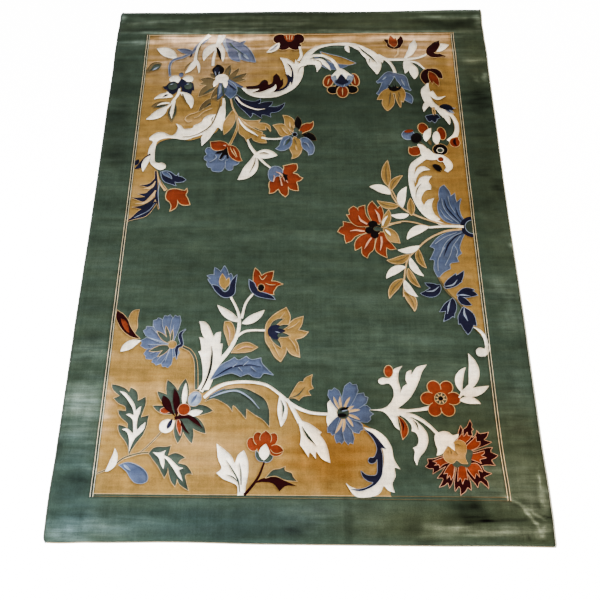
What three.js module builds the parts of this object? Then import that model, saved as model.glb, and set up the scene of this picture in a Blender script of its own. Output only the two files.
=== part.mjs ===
// A Turkish rug, 1.6 x 2.3 m, lying open on a floor.
// Millimetres, +Z up. The origin is under the middle of the rug, on the floor. +Y runs to the far end.
// Three pieces: the woven body with its pile, and the yarn overcasting along its two long sides.

import * as THREE from 'three';
import { mergeVertices } from 'three/addons/utils/BufferGeometryUtils.js';

// Driving sizes
const WIDTH = 1600;              // over both overcast sides
const LENGTH = 2300;             // end to end
const THICK = 8.5;               // foundation and pile together
const BINDING = 5.5;             // width of the overcasting seen from above
const BINDING_HEIGHT = 7;        // the wound edge is a little lower than the pile
const GAP = 0.35;                // between the body and each overcast side
const EDGE_ROUND = 3;            // the pile leans over at the edge by this much

// Rows and columns of the mesh
const COLUMN_STEP = 80;
const ROW_STEP = 46;
const FINE_ROW_STEP = 9;
// Stretches of the length where the rows are close together: both ends, and the folds and creases there.
const FINE_ROWS = [[-1150, -1141], [-1104, -1032], [966, 1150]];

// The overcasting's section: across is 0 at the body and 1 outside, up is 0 on the floor and 1 at the crest.
const BINDING_SECTION = [[0, 0], [0, 0.8], [0.25, 0.97], [0.55, 1], [0.85, 0.8], [1, 0.45], [0.94, 0.1], [0.85, 0]];

// Folds that lift the whole cloth off the floor. Each runs across the rug at "y" where x is 0,
// turned by "slope" (rise of y for each mm of x), wavering by "waver", from "from" to "to" across.
const FOLDS = [
  { y: 1122, height: 2.6, reach: 26, slope: 0.004, waver: 3, from: -900, to: 900 },
  { y: 1010, height: 4.2, reach: 44, slope: -0.006, waver: 5, from: -900, to: 900 },
  { y: 905, height: 2.0, reach: 60, slope: 0.010, waver: 9, from: -900, to: 520 },
  { y: 560, height: 1.8, reach: 85, slope: -0.020, waver: 12, from: -900, to: 300 },
  { y: 130, height: 2.2, reach: 95, slope: 0.015, waver: 14, from: -300, to: 900 },
  { y: -395, height: 2.4, reach: 90, slope: -0.012, waver: 12, from: -900, to: 900 },
  { y: -800, height: 2.0, reach: 80, slope: 0.020, waver: 10, from: -900, to: 400 },
  { y: -1085, height: 3.4, reach: 46, slope: 0.030, waver: 6, from: 260, to: 900 },
];

// Creases pressed into the pile alone, as straight soft troughs between two points.
const TROUGHS = [
  { x0: -800, y0: 1092, x1: 800, y1: 1096, depth: 2.2, reach: 15 },
  { x0: -800, y0: 1052, x1: 800, y1: 1046, depth: 1.6, reach: 20 },
  { x0: 668, y0: -1000, x1: 762, y1: -1062, depth: 2.0, reach: 16 },
  { x0: 430, y0: -1058, x1: 800, y1: -1052, depth: 2.2, reach: 22 },
  { x0: -260, y0: -1046, x1: 150, y1: -1018, depth: 1.2, reach: 16 },
];

// How far the outline stands out of (+) or in from (-) a true rectangle, around a place along each edge.
const EDGE_WAVES = {
  left: [{ at: 950, out: 2.5, reach: 160 }, { at: 120, out: -2, reach: 500 }, { at: -1010, out: 3, reach: 150 }],
  right: [
    { at: 1120, out: 3, reach: 60 }, { at: 890, out: 2.5, reach: 110 },
    { at: 120, out: -3.5, reach: 460 }, { at: -1000, out: 3, reach: 180 },
  ],
  far: [{ at: -470, out: -2.5, reach: 240 }, { at: 250, out: -4.5, reach: 330 }, { at: 690, out: 2.5, reach: 180 }],
  near: [{ at: -750, out: 2.5, reach: 90 }, { at: -370, out: -3.5, reach: 260 }, { at: 650, out: -1.8, reach: 200 }],
};

// How far each corner is drawn in, over how long a stretch of the side.
const CORNERS = {
  left: { drawn: 8, over: 22 },
  right: { drawn: 3.5, over: 12 },
};

// A soft hump that is 1 in the middle and 0 from -1 and 1 outwards.
const hump = (t) => (Math.abs(t) < 1 ? (1 - t * t) ** 2 : 0);

const smooth = (t) => {
  const c = Math.min(Math.max(t, 0), 1);
  return c * c * (3 - 2 * c);
};

// Height by which the folds lift the cloth off the floor at (x, y).
function lift(x, y) {
  let sum = 0;
  FOLDS.forEach((fold, k) => {
    const line = fold.y + fold.slope * x + fold.waver * Math.sin(x / 170 + 1.7 * k);
    const fade = smooth((x - fold.from) / 160) * smooth((fold.to - x) / 160);
    sum += fold.height * hump((y - line) / fold.reach) * fade;
  });
  return sum;
}

// Depth of the pile's creases at (x, y).
function crease(x, y) {
  let deepest = 0;
  for (const t of TROUGHS) {
    const run = new THREE.Vector2(t.x1 - t.x0, t.y1 - t.y0);
    const along = ((x - t.x0) * run.x + (y - t.y0) * run.y) / run.lengthSq();
    const off = ((x - t.x0) * run.y - (y - t.y0) * run.x) / run.length();
    const fade = smooth((along + 0.04) / 0.12) * smooth((1.04 - along) / 0.12);
    deepest = Math.max(deepest, t.depth * hump(off / t.reach) * fade);
  }
  return deepest;
}

const wave = (rows, at) => rows.reduce((sum, w) => sum + w.out * hump((at - w.at) / w.reach), 0);

// Distance of the outline from the rug's middle line at height y of the plan, on one long side.
function sideDistance(side, y) {
  const corner = CORNERS[side];
  const into = Math.max(0, (Math.abs(y) - (LENGTH / 2 - corner.over)) / corner.over);
  return WIDTH / 2 + wave(EDGE_WAVES[side], y) - corner.drawn * into * into;
}

// The far and near ends waver by their own amount, which dies away within the last 150 mm.
function endShift(x, y) {
  const near = smooth((Math.abs(y) - (LENGTH / 2 - 150)) / 150);
  return y > 0 ? wave(EDGE_WAVES.far, x) * near : -wave(EDGE_WAVES.near, x) * near;
}

// Steps from -half to half, close together beside the places in "fine".
function steps(half, coarse, fine, fineStep) {
  const list = [-half];
  while (list[list.length - 1] < half - 0.5) {
    const here = list[list.length - 1];
    const close = fine.some(([a, b]) => here > a - 1 && here < b - 1);
    const next = fine.map(([a]) => a).filter((a) => a > here + 1);
    const step = close ? fineStep : coarse;
    list.push(Math.min(here + step, half, ...(close ? [] : next)));
  }
  return list;
}

// A closed body from rings of points. All rings have the same even number of points, listed so that
// point i faces point (count - 1 - i) across the ring, which lets both ends be closed by a ladder of quads.
function closedLoft(rings) {
  const count = rings[0].length;
  const positions = rings.flat().flatMap((p) => [p.x, p.y, p.z]);
  const index = [];
  const quad = (a, b, c, d) => index.push(a, b, c, a, c, d);
  for (let ring = 0; ring + 1 < rings.length; ring += 1) {
    for (let j = 0; j < count; j += 1) {
      const here = ring * count + j;
      const beside = ring * count + ((j + 1) % count);
      quad(here, beside, beside + count, here + count);
    }
  }
  const last = (rings.length - 1) * count;
  for (let j = 0; j < count / 2 - 1; j += 1) {
    const across = count - 1 - j;
    quad(across, across - 1, j + 1, j);
    quad(last + j, last + j + 1, last + across - 1, last + across);
  }
  const geometry = new THREE.BufferGeometry();
  geometry.setAttribute('position', new THREE.Float32BufferAttribute(positions, 3));
  geometry.setIndex(index);
  return mergeVertices(geometry, 1e-4);
}

// All three pieces share their rows, so that the gap between them stays even along the wavering sides.
const ROWS = steps(LENGTH / 2, ROW_STEP, FINE_ROWS, FINE_ROW_STEP);

// The woven body. Each row is a ring: over the pile from left to right, then back along the underside.
function bodyGeometry() {
  const inner = steps(1, (2 * COLUMN_STEP) / WIDTH, [], 0).slice(1, -1);
  const rings = ROWS.map((y, row) => {
    const atEnd = row === 0 || row === ROWS.length - 1;
    const left = -sideDistance('left', y) + BINDING + GAP;
    const right = sideDistance('right', y) - BINDING - GAP;
    const middle = (left + right) / 2;
    const half = (right - left) / 2;
    const columns = [
      { x: left, drop: EDGE_ROUND }, { x: left + EDGE_ROUND, drop: 0 },
      ...inner.map((u) => ({ x: middle + u * half, drop: 0 })),
      { x: right - EDGE_ROUND, drop: 0 }, { x: right, drop: EDGE_ROUND },
    ];
    const point = (x, z) => new THREE.Vector3(x, y + endShift(x, y), z);
    const over = columns.map(({ x, drop }) => {
      const leaning = Math.max(drop, atEnd ? EDGE_ROUND : 0);
      return point(x, lift(x, y) + THICK - crease(x, y) - leaning);
    });
    const under = columns.map(({ x }) => point(x, lift(x, y)));
    return [...over, ...under.reverse()];
  });
  return closedLoft(rings);
}

// One overcast side: a rounded section with a flat foot, following the outline and the folds.
function bindingGeometry(side) {
  const sign = side === 'left' ? -1 : 1;
  const rings = ROWS.map((y, row) => {
    const atEnd = row === 0 || row === ROWS.length - 1;
    const height = BINDING_HEIGHT * (atEnd ? 0.82 : 1);
    const outer = sideDistance(side, y);
    const ring = BINDING_SECTION.map(([across, up]) => {
      const x = sign * (outer - BINDING * (1 - across));
      return new THREE.Vector3(x, y + endShift(x, y), lift(x, y) + height * up);
    });
    return side === 'left' ? ring.reverse() : ring;
  });
  return closedLoft(rings);
}

// Materials
const pile = new THREE.MeshStandardMaterial({ color: 0x44584a, roughness: 0.85, metalness: 0 });
const overcastDark = new THREE.MeshStandardMaterial({ color: 0x46544a, roughness: 0.8, metalness: 0 });
const overcastPale = new THREE.MeshStandardMaterial({ color: 0x8d8f82, roughness: 0.8, metalness: 0 });

function piece(name, geometry, material) {
  const mesh = new THREE.Mesh(geometry, material);
  mesh.name = name;
  return mesh;
}

const rug = new THREE.Group();
rug.add(piece('rug_body', bodyGeometry(), pile));
rug.add(piece('binding_left', bindingGeometry('left'), overcastDark));
rug.add(piece('binding_right', bindingGeometry('right'), overcastPale));

export default rug;
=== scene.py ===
from math import radians

import bpy
import numpy as np
from mathutils import Matrix, Vector
from mathutils.geometry import delaunay_2d_cdt


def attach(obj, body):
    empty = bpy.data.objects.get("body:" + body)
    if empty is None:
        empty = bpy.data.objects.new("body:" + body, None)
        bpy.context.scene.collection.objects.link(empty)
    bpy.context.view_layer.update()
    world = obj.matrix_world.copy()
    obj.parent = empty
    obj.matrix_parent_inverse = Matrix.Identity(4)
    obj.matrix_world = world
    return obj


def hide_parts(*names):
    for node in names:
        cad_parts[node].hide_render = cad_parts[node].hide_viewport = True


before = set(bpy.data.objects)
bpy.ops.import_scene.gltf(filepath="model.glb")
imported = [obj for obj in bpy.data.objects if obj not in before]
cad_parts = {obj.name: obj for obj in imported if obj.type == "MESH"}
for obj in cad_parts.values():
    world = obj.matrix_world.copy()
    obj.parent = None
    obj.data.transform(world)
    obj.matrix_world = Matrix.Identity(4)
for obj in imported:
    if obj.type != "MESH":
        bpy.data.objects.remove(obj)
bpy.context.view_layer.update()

# Foundation
# The woven ground that holds the tufts: cotton and jute threads, sized on the back. It is the rug's back, and
# its cut ends show as a thin flat line past the pile. The rug was packed folded: low ridges still lift it off
# the floor, pressed lines cross it, and its outline wavers, all as in the part's source.
MM = 0.001
WIDTH = 1600
LENGTH = 2300
BINDING = 5.5
GAP = 0.35
GROUND_THICK = 2.4
# How much of a pressed line's depth reaches the ground under the pile
PRESSED_THROUGH = 0.6
# The stretch of x in which a ridge dies out, the waver's length, and the stretch of y that moves with an end
RIDGE_END = 160
WAVER_LENGTH = 170
END_STRETCH = 150
# Ridges: y where x is 0, height, reach, slope, waver, and the stretch of x that they run through
FOLDS = (
    (1122, 2.6, 26, 0.004, 3, -900, 900), (1010, 4.2, 44, -0.006, 5, -900, 900),
    (905, 2.0, 60, 0.010, 9, -900, 520), (560, 1.8, 85, -0.020, 12, -900, 300),
    (130, 2.2, 95, 0.015, 14, -300, 900), (-395, 2.4, 90, -0.012, 12, -900, 900),
    (-800, 2.0, 80, 0.020, 10, -900, 400), (-1085, 3.4, 46, 0.030, 6, 260, 900),
)
# Pressed lines: both ends, depth and reach
TROUGHS = (
    (-800, 1092, 800, 1096, 2.2, 15), (-800, 1052, 800, 1046, 1.6, 20), (668, -1000, 762, -1062, 2.0, 16),
    (430, -1058, 800, -1052, 2.2, 22), (-260, -1046, 150, -1018, 1.2, 16),
)
# Waves of the outline: place along the edge, how far out, reach
WAVES = {
    "left": ((950, 2.5, 160), (120, -2, 500), (-1010, 3, 150)),
    "right": ((1120, 3, 60), (890, 2.5, 110), (120, -3.5, 460), (-1000, 3, 180)),
    "far": ((-470, -2.5, 240), (250, -4.5, 330), (690, 2.5, 180)),
    "near": ((-750, 2.5, 90), (-370, -3.5, 260), (650, -1.8, 200)),
}
# How far each side's corners are drawn in, over how long a stretch
CORNERS = {"left": (8, 22), "right": (3.5, 12)}


def hump(t):
    """A soft hump: (1 - t squared) squared between -1 and 1, and 0 outside."""
    return np.where(np.abs(t) < 1, (1 - t * t) ** 2, 0)


def ease(t):
    """0 below 0 and 1 above 1, with a soft S between."""
    t = np.clip(t, 0, 1)
    return t * t * (3 - 2 * t)


def lift(x, y):
    """Height of the cloth's back over the floor: each ridge is a hump across its own wavering line."""
    total = 0
    for k, (at, height, reach, slope, waver, start, end) in enumerate(FOLDS):
        line = at + slope * x + waver * np.sin(x / WAVER_LENGTH + 1.7 * k)
        ridge = height * hump((y - line) / reach)
        total = total + ridge * ease((x - start) / RIDGE_END) * ease((end - x) / RIDGE_END)
    return total


def crease(x, y):
    """Depth of the pressed lines in the pile: the deepest of the soft troughs that pass a point."""
    deepest = np.zeros(np.broadcast(x, y).shape)
    for x0, y0, x1, y1, depth, reach in TROUGHS:
        run = np.hypot(x1 - x0, y1 - y0)
        along = ((x - x0) * (x1 - x0) + (y - y0) * (y1 - y0)) / run ** 2
        off = ((x - x0) * (y1 - y0) - (y - y0) * (x1 - x0)) / run
        fade = ease((along + 0.04) / 0.12) * ease((1.04 - along) / 0.12)
        deepest = np.maximum(deepest, depth * hump(off / reach) * fade)
    return deepest


def wave(edge, at):
    """How far an edge stands out of its straight line at a place along it."""
    return sum(out * hump((at - place) / reach) for place, out, reach in WAVES[edge])


def side_distance(side, y):
    """Distance of a long edge from the middle line, with its waves and drawn-in corners."""
    drawn, over = CORNERS[side]
    into = np.maximum(0, (np.abs(y) - (LENGTH / 2 - over)) / over)
    return WIDTH / 2 + wave(side, y) - drawn * into ** 2


def end_shift(x, y):
    """How far a point near an end moves along the rug with that end's waves."""
    near = ease((np.abs(y) - (LENGTH / 2 - END_STRETCH)) / END_STRETCH)
    return np.where(y > 0, wave("far", x), -wave("near", x)) * near


def body_edges(y):
    """x of the woven body's left and right edges beside the overcasting, at places along the rug."""
    inset = BINDING + GAP
    return inset - side_distance("left", y), side_distance("right", y) - inset


def grid_quads(grid):
    """The faces between the points of a numbered grid, row by row."""
    return np.stack([grid[:-1, :-1], grid[:-1, 1:], grid[1:, 1:], grid[1:, :-1]], -1).reshape(-1, 4)


def build_piece(name, points, faces, flat_from=None):
    """A mesh object from points in millimetres and a list of face arrays, each of one corner count, smooth
    shaded. Faces of the arrays from flat_from onwards are left flat, which keeps the edge to them sharp."""
    mesh = bpy.data.meshes.new(name)
    corners = np.concatenate([f.ravel() for f in faces]).astype(np.int32)
    counts = np.concatenate([np.full(len(f), f.shape[1]) for f in faces]).astype(np.int32)
    mesh.vertices.add(len(points))
    mesh.vertices.foreach_set("co", (np.asarray(points) * MM).astype(np.float32).ravel())
    mesh.loops.add(len(corners))
    mesh.loops.foreach_set("vertex_index", corners)
    mesh.polygons.add(len(counts))
    mesh.polygons.foreach_set("loop_start", (np.cumsum(counts) - counts).astype(np.int32))
    smooth = np.ones(len(counts), bool)
    if flat_from is not None:
        smooth[sum(len(f) for f in faces[:flat_from]):] = False
    mesh.polygons.foreach_set("use_smooth", smooth)
    mesh.update(calc_edges=True)
    mesh.validate()
    piece = bpy.data.objects.new(name, mesh)
    bpy.context.scene.collection.objects.link(piece)
    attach(piece, "root")
    return piece


# Rows of points every 11.41 mm, closer at the ends, and 145 columns
rows = np.concatenate([np.arange(-1150, -1141, 3), np.arange(-1141, 1141, 11.41), np.arange(1141, 1151, 3)])
along, across = np.meshgrid(rows, np.linspace(0, 1, 145), indexing="ij")
left, right = body_edges(along)
x = left + across * (right - left)
y = along + end_shift(x, along)
back = lift(x, along)
front = back + GROUND_THICK - PRESSED_THROUGH * crease(x, along)
ground_points = np.concatenate([np.stack([x, y, z], -1).reshape(-1, 3) for z in (front, back)])
count = x.size
grid = np.arange(count).reshape(x.shape)
rim = np.concatenate([grid[0, :-1], grid[:-1, -1], grid[-1, :0:-1], grid[:0:-1, 0]])
beside = np.roll(rim, -1)
walls = np.stack([rim, rim + count, beside + count, beside], -1)
quads = grid_quads(grid)
foundation = build_piece("foundation", ground_points, [quads, quads[:, ::-1] + count, walls], 2)
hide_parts("rug_body")


def add_node(tree, kind, inputs=(), **settings):
    """A node of one kind with its settings, each input fed from another node's socket or set to a value."""
    node = tree.nodes.new(kind)
    for name, value in settings.items():
        setattr(node, name, value)
    for name, value in dict(inputs).items():
        if isinstance(value, bpy.types.NodeSocket):
            tree.links.new(value, node.inputs[name])
        else:
            node.inputs[name].default_value = value
    return node


def compute(tree, operation, *values):
    """The result of one sum on the given sockets or numbers."""
    return add_node(tree, "ShaderNodeMath", enumerate(values), operation=operation).outputs[0]


def rescale(tree, value, low, high, to_low, to_high):
    """The value carried from one range to another and held inside it."""
    return add_node(tree, "ShaderNodeMapRange", {0: value, 1: low, 2: high, 3: to_low, 4: to_high}).outputs[0]


def weighted(tree, total, *terms):
    """A starting value plus each term's value times its weight."""
    for value, weight in terms:
        total = compute(tree, "MULTIPLY_ADD", value, weight, total)
    return total


def multiplied(tree, vector, by):
    """A place or colour times another one, or times one number that varies."""
    return add_node(tree, "ShaderNodeVectorMath", {0: vector, 1: by}, operation="MULTIPLY").outputs[0]


def mix_colours(tree, share, first, second):
    """Two screen colours mixed by a share of the second."""
    colours = {"Factor": share, 6: rgb(*first), 7: rgb(*second)}
    return add_node(tree, "ShaderNodeMix", colours, data_type="RGBA").outputs[2]


def start_effect(name, label, usual, *outputs):
    """An empty node group with one number as its input and with its outputs, of which Tint is a colour. Gives
    the group, its input, its outputs and the place on the object."""
    tree = bpy.data.node_groups.new(name, "ShaderNodeTree")
    tree.interface.new_socket(label, in_out="INPUT", socket_type="NodeSocketFloat").default_value = usual
    for output in outputs:
        kind = "NodeSocketColor" if output == "Tint" else "NodeSocketFloat"
        tree.interface.new_socket(output, in_out="OUTPUT", socket_type=kind)
    given = tree.nodes.new("NodeGroupInput").outputs[label]
    out = tree.nodes.new("NodeGroupOutput").inputs
    return tree, given, out, add_node(tree, "ShaderNodeTexCoord").outputs["Object"]


def place_effect(tree, group, **values):
    """A group placed in a material with its own values."""
    node = tree.nodes.new("ShaderNodeGroup")
    node.node_tree = group
    for name, value in values.items():
        node.inputs[name].default_value = value
    return node.outputs


def start_material(name, **shader_values):
    """A material with a Principled shader whose even values are set on its own sockets."""
    material = bpy.data.materials.new(name)
    material.use_nodes = True
    shader = material.node_tree.nodes["Principled BSDF"]
    for label, value in shader_values.items():
        shader.inputs[label.replace("_", " ")].default_value = value
    return material, material.node_tree, shader.inputs


def finish_material(tree, shader, colour, height, strength, depth):
    """Feeds a material's colour, and its relief of so many metres as a bump."""
    tree.links.new(colour, shader["Base Color"])
    bump = add_node(tree, "ShaderNodeBump", {"Strength": strength, "Distance": depth, "Height": height})
    tree.links.new(bump.outputs[0], shader["Normal"])


def rgb(red, green, blue):
    """A linear colour from the three 0-255 values that a screen shows."""
    screen = np.array([red, green, blue]) / 255
    linear = np.where(screen <= 0.04045, screen / 12.92, ((screen + 0.055) / 1.055) ** 2.4)
    return (*linear.tolist(), 1.0)


THREAD_PITCH = 0.0034
tree, pitch, out, place = start_effect("Thread weave", "Pitch", THREAD_PITCH, "Shade", "Height")
thread_weave = tree
turns = compute(tree, "DIVIDE", 2 * np.pi, pitch)
axes = add_node(tree, "ShaderNodeSeparateXYZ", {0: place}).outputs
ribs, warps = (compute(tree, "SINE", compute(tree, "MULTIPLY", axes[axis], turns)) for axis in "YX")
slub = add_node(tree, "ShaderNodeTexNoise", {"Vector": place, "Scale": 90, "Detail": 3}).outputs[0]
height = weighted(tree, slub, (compute(tree, "MULTIPLY", ribs, warps), 0.25))
tree.links.new(height, out["Height"])
tree.links.new(rescale(tree, height, 0.2, 0.8, 0.75, 1.1), out["Shade"])

backing, tree, shader = start_material("Woven backing", Roughness=0.9, Specular_IOR_Level=0.2)
threads = place_effect(tree, thread_weave, Pitch=THREAD_PITCH)
# The backing is darker where its threads lie low: painted shade in the hollows of the weave
colour = mix_colours(tree, threads["Shade"], (70, 62, 46), (150, 136, 108))
finish_material(tree, shader, colour, threads["Height"], 0.6, 0.0006)
foundation.data.materials.append(backing)

# Pile
# Short cut pile in fifteen yarns, all woven at once, each figure in its own colour with a narrow contour.
# The pattern is charted in millimetres seen from above, the way a designer paints a point paper: each figure
# is a closed outline filled with one yarn, and a later one covers an earlier one.

# Points of an outline lie about this far apart
OUTLINE_STEP = 4


def cubic(a, b, c, d, t):
    """The cubic from b to c whose slope at each is half the stride between its two neighbours."""
    return b + ((c - a) * t + (2 * a - 5 * b + 4 * c - d) * t ** 2 + (3 * b - a - 3 * c + d) * t ** 3) / 2


# Where the figures are measured from
origin = np.zeros(2)


def start_at(x, y):
    """The figures that follow are measured from this place."""
    origin[:] = x, y


def smooth_line(points, step=OUTLINE_STEP):
    """A soft line of cubics through the points, with points of its own about one step apart along it."""
    p = np.asarray(points, float)
    p = np.vstack([2 * p[0] - p[1], p, 2 * p[-1] - p[-2]])
    t = np.linspace(0, 1, 10, endpoint=False)[None, :, None]
    line = cubic(*(p[k:len(p) - 3 + k, None] for k in range(4)), t)
    line = np.vstack([line.reshape(-1, 2), p[-2]])
    run = np.concatenate([[0], np.cumsum(np.hypot(*np.diff(line, axis=0).T))])
    at = np.linspace(0, run[-1], max(int(run[-1] / step), 5) + 1)
    return np.stack([np.interp(at, run, line[:, k]) for k in (0, 1)], 1)


def along_line(line, half):
    """The outline of a strip that reaches half its width to each side of a line."""
    way = np.gradient(line, axis=0)
    way /= np.maximum(np.hypot(way[:, 0], way[:, 1]), 1e-9)[:, None]
    side = np.stack([-way[:, 1], way[:, 0]], 1) * half[:, None]
    return np.vstack([line + side, (line - side)[::-1]])


def band(points, *widths):
    """A band along the smooth line through the points. Its width goes softly from each value to the next."""
    line = smooth_line(points + origin)
    w = np.asarray(widths * 2 if len(widths) == 1 else widths, float)
    place = np.linspace(0, 1, len(line)) * (len(w) - 1)
    k = np.minimum(place.astype(int), len(w) - 2)
    f = (place - k) ** 2 * (3 - 2 * (place - k))
    return along_line(line, (w[k] * (1 - f) + w[k + 1] * f) / 2)


def leaf(base, tip, width, bend=0.0, fullest=0.45):
    """A pointed leaf from base to tip. Its midrib bows sideways by bend times its length (+ to the left),
    and its half width is a sine of the way along, warped so that it is fullest at the given part."""
    base, tip = base + origin, tip + origin
    run = tip - base
    u = np.linspace(0, 1, max(int(np.hypot(*run) / OUTLINE_STEP), 8) + 1)
    bow = 4 * u * (1 - u) * bend
    line = base + u[:, None] * run + bow[:, None] * np.array([-run[1], run[0]])
    return along_line(line, width / 2 * np.sin(np.pi * u ** (np.log(0.5) / np.log(fullest))) ** 0.85)


def petal(base, tip, width, teeth=3, depth=0.13):
    """A broad petal from base to tip. Its half width rises as a sine to a shoulder four fifths of the way
    along, and its round end is cut into teeth, each notch that part of the length deep."""
    base, tip = base + origin, tip + origin
    u = np.linspace(0, 1, 10)[:-1, None]
    edge = np.hstack([0.8 * u, np.sin(np.pi / 2 * u) ** 0.7])
    a = np.linspace(1, -1, 2 * teeth + 1)
    cut = np.arange(len(a)) % 2 == 0
    cut[[0, -1]] = False
    end = np.stack([0.8 + 0.2 * (1 - a ** 2) - depth * cut, a], 1)
    outline = np.vstack([edge, end, edge[::-1] * (1, -1)])
    run = tip - base
    side = np.array([-run[1], run[0]]) / np.hypot(*run)
    return base + outline[:, :1] * run + outline[:, 1:] * side * width / 2


def oval(centre, wide, long, turn=0.0):
    """An ellipse, its second axis turned anticlockwise from +Y by so many degrees."""
    corners = max(int(np.pi * max(wide, long) / OUTLINE_STEP), 10)
    a = np.linspace(0, 2 * np.pi, corners, endpoint=False)
    r = np.radians(turn)
    x, y = wide / 2 * np.cos(a), long / 2 * np.sin(a)
    return centre + origin + np.stack([x * np.cos(r) - y * np.sin(r), x * np.sin(r) + y * np.cos(r)], 1)


def closed(*points):
    """A closed soft outline of cubics through the points. A point with a third value is a sharp corner."""
    p = [q[:2] for q in points for again in q[1:]] + origin
    ring = np.vstack([p[-1:], p, p[:2]])
    out = []
    for a, b, c, d in zip(ring, p, ring[2:], ring[3:]):
        t = np.linspace(0, 1, max(int(np.hypot(*(c - b)) / OUTLINE_STEP), 1), endpoint=False)[:, None]
        out.append(cubic(a, b, c, d, t))
    return np.vstack(out)


def grown(shape, by):
    """The outline moved outwards by so much, each corner along the bisector of its two sides."""
    p = np.asarray(shape, float)
    p = p[np.hypot(*(p - np.roll(p, 1, axis=0)).T) > 0.3]
    x, y = p[:, 0], p[:, 1]
    turn = np.sign(np.sum(x * np.roll(y, -1) - y * np.roll(x, -1)))
    side = np.roll(p, -1, axis=0) - p
    out = np.stack([side[:, 1], -side[:, 0]], 1) * turn
    out /= np.hypot(out[:, 0], out[:, 1])[:, None]
    before = np.roll(out, 1, axis=0)
    lean = np.maximum(1 + np.sum(out * before, axis=1), 0.45)[:, None]
    return p + by * (out + before) / lean


chart = []


def weave(yarn, *shapes):
    """Puts these figures on the chart in one yarn."""
    chart.extend((yarn, shape) for shape in shapes)


def rimmed(yarn, *shapes, edge=None, rim=1.5):
    """Puts figures on the chart with a narrow contour round all of them together, in its own yarn: pale round
    blue and navy, and tan round the rest, where no other is named."""
    weave(edge or ("pale" if yarn in ("blue", "navy") else "tan"), *(grown(shape, rim) for shape in shapes))
    weave(yarn, *shapes)


# Gold ground fills the far end with both its corners, and the near left corner. The rest stays green.
start_at(0, 0)
weave("gold", closed((-653, 998, 1), (652, 998, 1), (652, -460, 1), (642, -440), (616, -404, 1),
    (598, -340), (580, -310), (540, -262), (512, -205, 1), (560, -120), (606, -15), (606, 17, 1),
    (542, 25), (497, 57), (461, 113), (441, 189), (440, 240), (452, 285), (480, 322), (525, 345),
    (552, 372), (590, 396), (618, 440), (626, 490), (618, 535), (592, 575), (558, 618), (528, 668),
    (538, 712), (524, 756), (528, 800), (500, 834), (450, 852), (345, 866), (300, 908), (230, 946),
    (160, 948), (100, 932), (52, 888), (16, 842), (5, 800), (-5, 742), (-32, 692), (-80, 662), (-140, 657),
    (-200, 672), (-250, 706), (-290, 690), (-318, 650, 1), (-316, 600), (-330, 480), (-380, 450),
    (-440, 427), (-500, 437), (-560, 420), (-590, 370), (-592, 320), (-568, 285, 1), (-562, 270),
    (-555, 200), (-550, 130), (-560, 98), (-600, 90), (-653, 40, 1)), closed((-653, -335, 1), (-625, -370),
    (-580, -440), (-540, -470), (-470, -480), (-408, -484), (-378, -505), (-358, -545), (-350, -600),
    (-346, -640), (-320, -652), (-270, -620), (-200, -607), (-130, -620), (-70, -650), (-30, -680),
    (20, -710), (70, -724), (130, -724), (190, -745), (235, -770), (280, -800), (306, -850), (310, -905),
    (298, -950), (296, -996, 1), (-653, -996, 1)))
# Lines across the two ends of the field
weave("tan", band([(-655, 1000), (652, 1000)], 3), band([(-655, -997), (298, -997)], 2))
weave("olive", band([(-668, 1004), (668, 1004)], 4), band([(298, -997), (660, -997)], 1.5),
    band([(-664, -1005), (100, -1006)], 1.8), band([(100, -1006), (676, -1008)], 1.3))

# Far left corner: cream and green leaves, a blue stem and leaf, cream sprays from the edge
start_at(-520, 860)
weave("cream", leaf((-6, 6), (-98, 66), 50, -0.06, 0.5), leaf((-20, 20), (-61, 67), 34, 0.05))
weave("olive", leaf((-140, -76), (-70, -18), 46, 0.05, 0.66))
weave("leaf", leaf((-118, -60), (-74, -24), 30, 0, 0.6))
weave("pale", leaf((-108, -58), (-80, -36), 9))
rimmed("blue", band([(118, 124), (80, 80), (60, 45), (20, 16), (-20, 0), (-35, -34), (-29, -90)], 16, 14,
    9, 8, 7, 5), leaf((64, 38), (-7, 60), 26), rim=2.5)
weave("navy", leaf((58, 36), (50, 12), 9))
weave("olive", band([(96, 97), (89, 70), (82, 35), (84, -10), (94, -67)], 7, 6, 3, 4, 2),
    band([(68, -8), (42, -30), (29, -62)], 3, 8, 2))
weave("cream", band([(128, 140), (96, 106), (82, 75), (76, 40), (73, -4)], 18, 10, 9, 10, 14),
    leaf((78, 4), (34, -76), 26, 0.06), leaf((76, 4), (93, -76), 14, 0.06))
start_at(-360, 855)
weave("pale", band([(24, 135), (38, 90), (52, 50), (62, 21)], 10, 16, 13, 3))
weave("cream", band([(15, 145), (3, 85), (-4, 40), (-9, 7), (-9, -29)], 18, 16, 10, 12, 12),
    leaf((10, 95), (-50, -1), 40, -0.14, 0.4), leaf((8, 105), (32, -7), 24, 0.06),
    band([(32, 145), (16, 95)], 14, 5))
weave("black", leaf((-1, 79), (22, 1), 14, 0.05))
rimmed("blue", leaf((38, 127), (172, -9), 72, -0.02, 0.5), leaf((60, 95), (104, -5), 40, -0.1, 0.6),
    leaf((98, 90), (124, 113), 14), rim=2.5)
weave("pale", leaf((92, 60), (106, 1), 12, 0.06), leaf((118, 37), (142, 7), 13),
    band([(60, 95), (98, 45)], 3))
weave("leaf", band([(56, 101), (76, 73), (98, 53), (128, 25)], 9, 7, 5, 1.5),
    band([(98, 53), (94, 35)], 4, 2))

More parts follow.
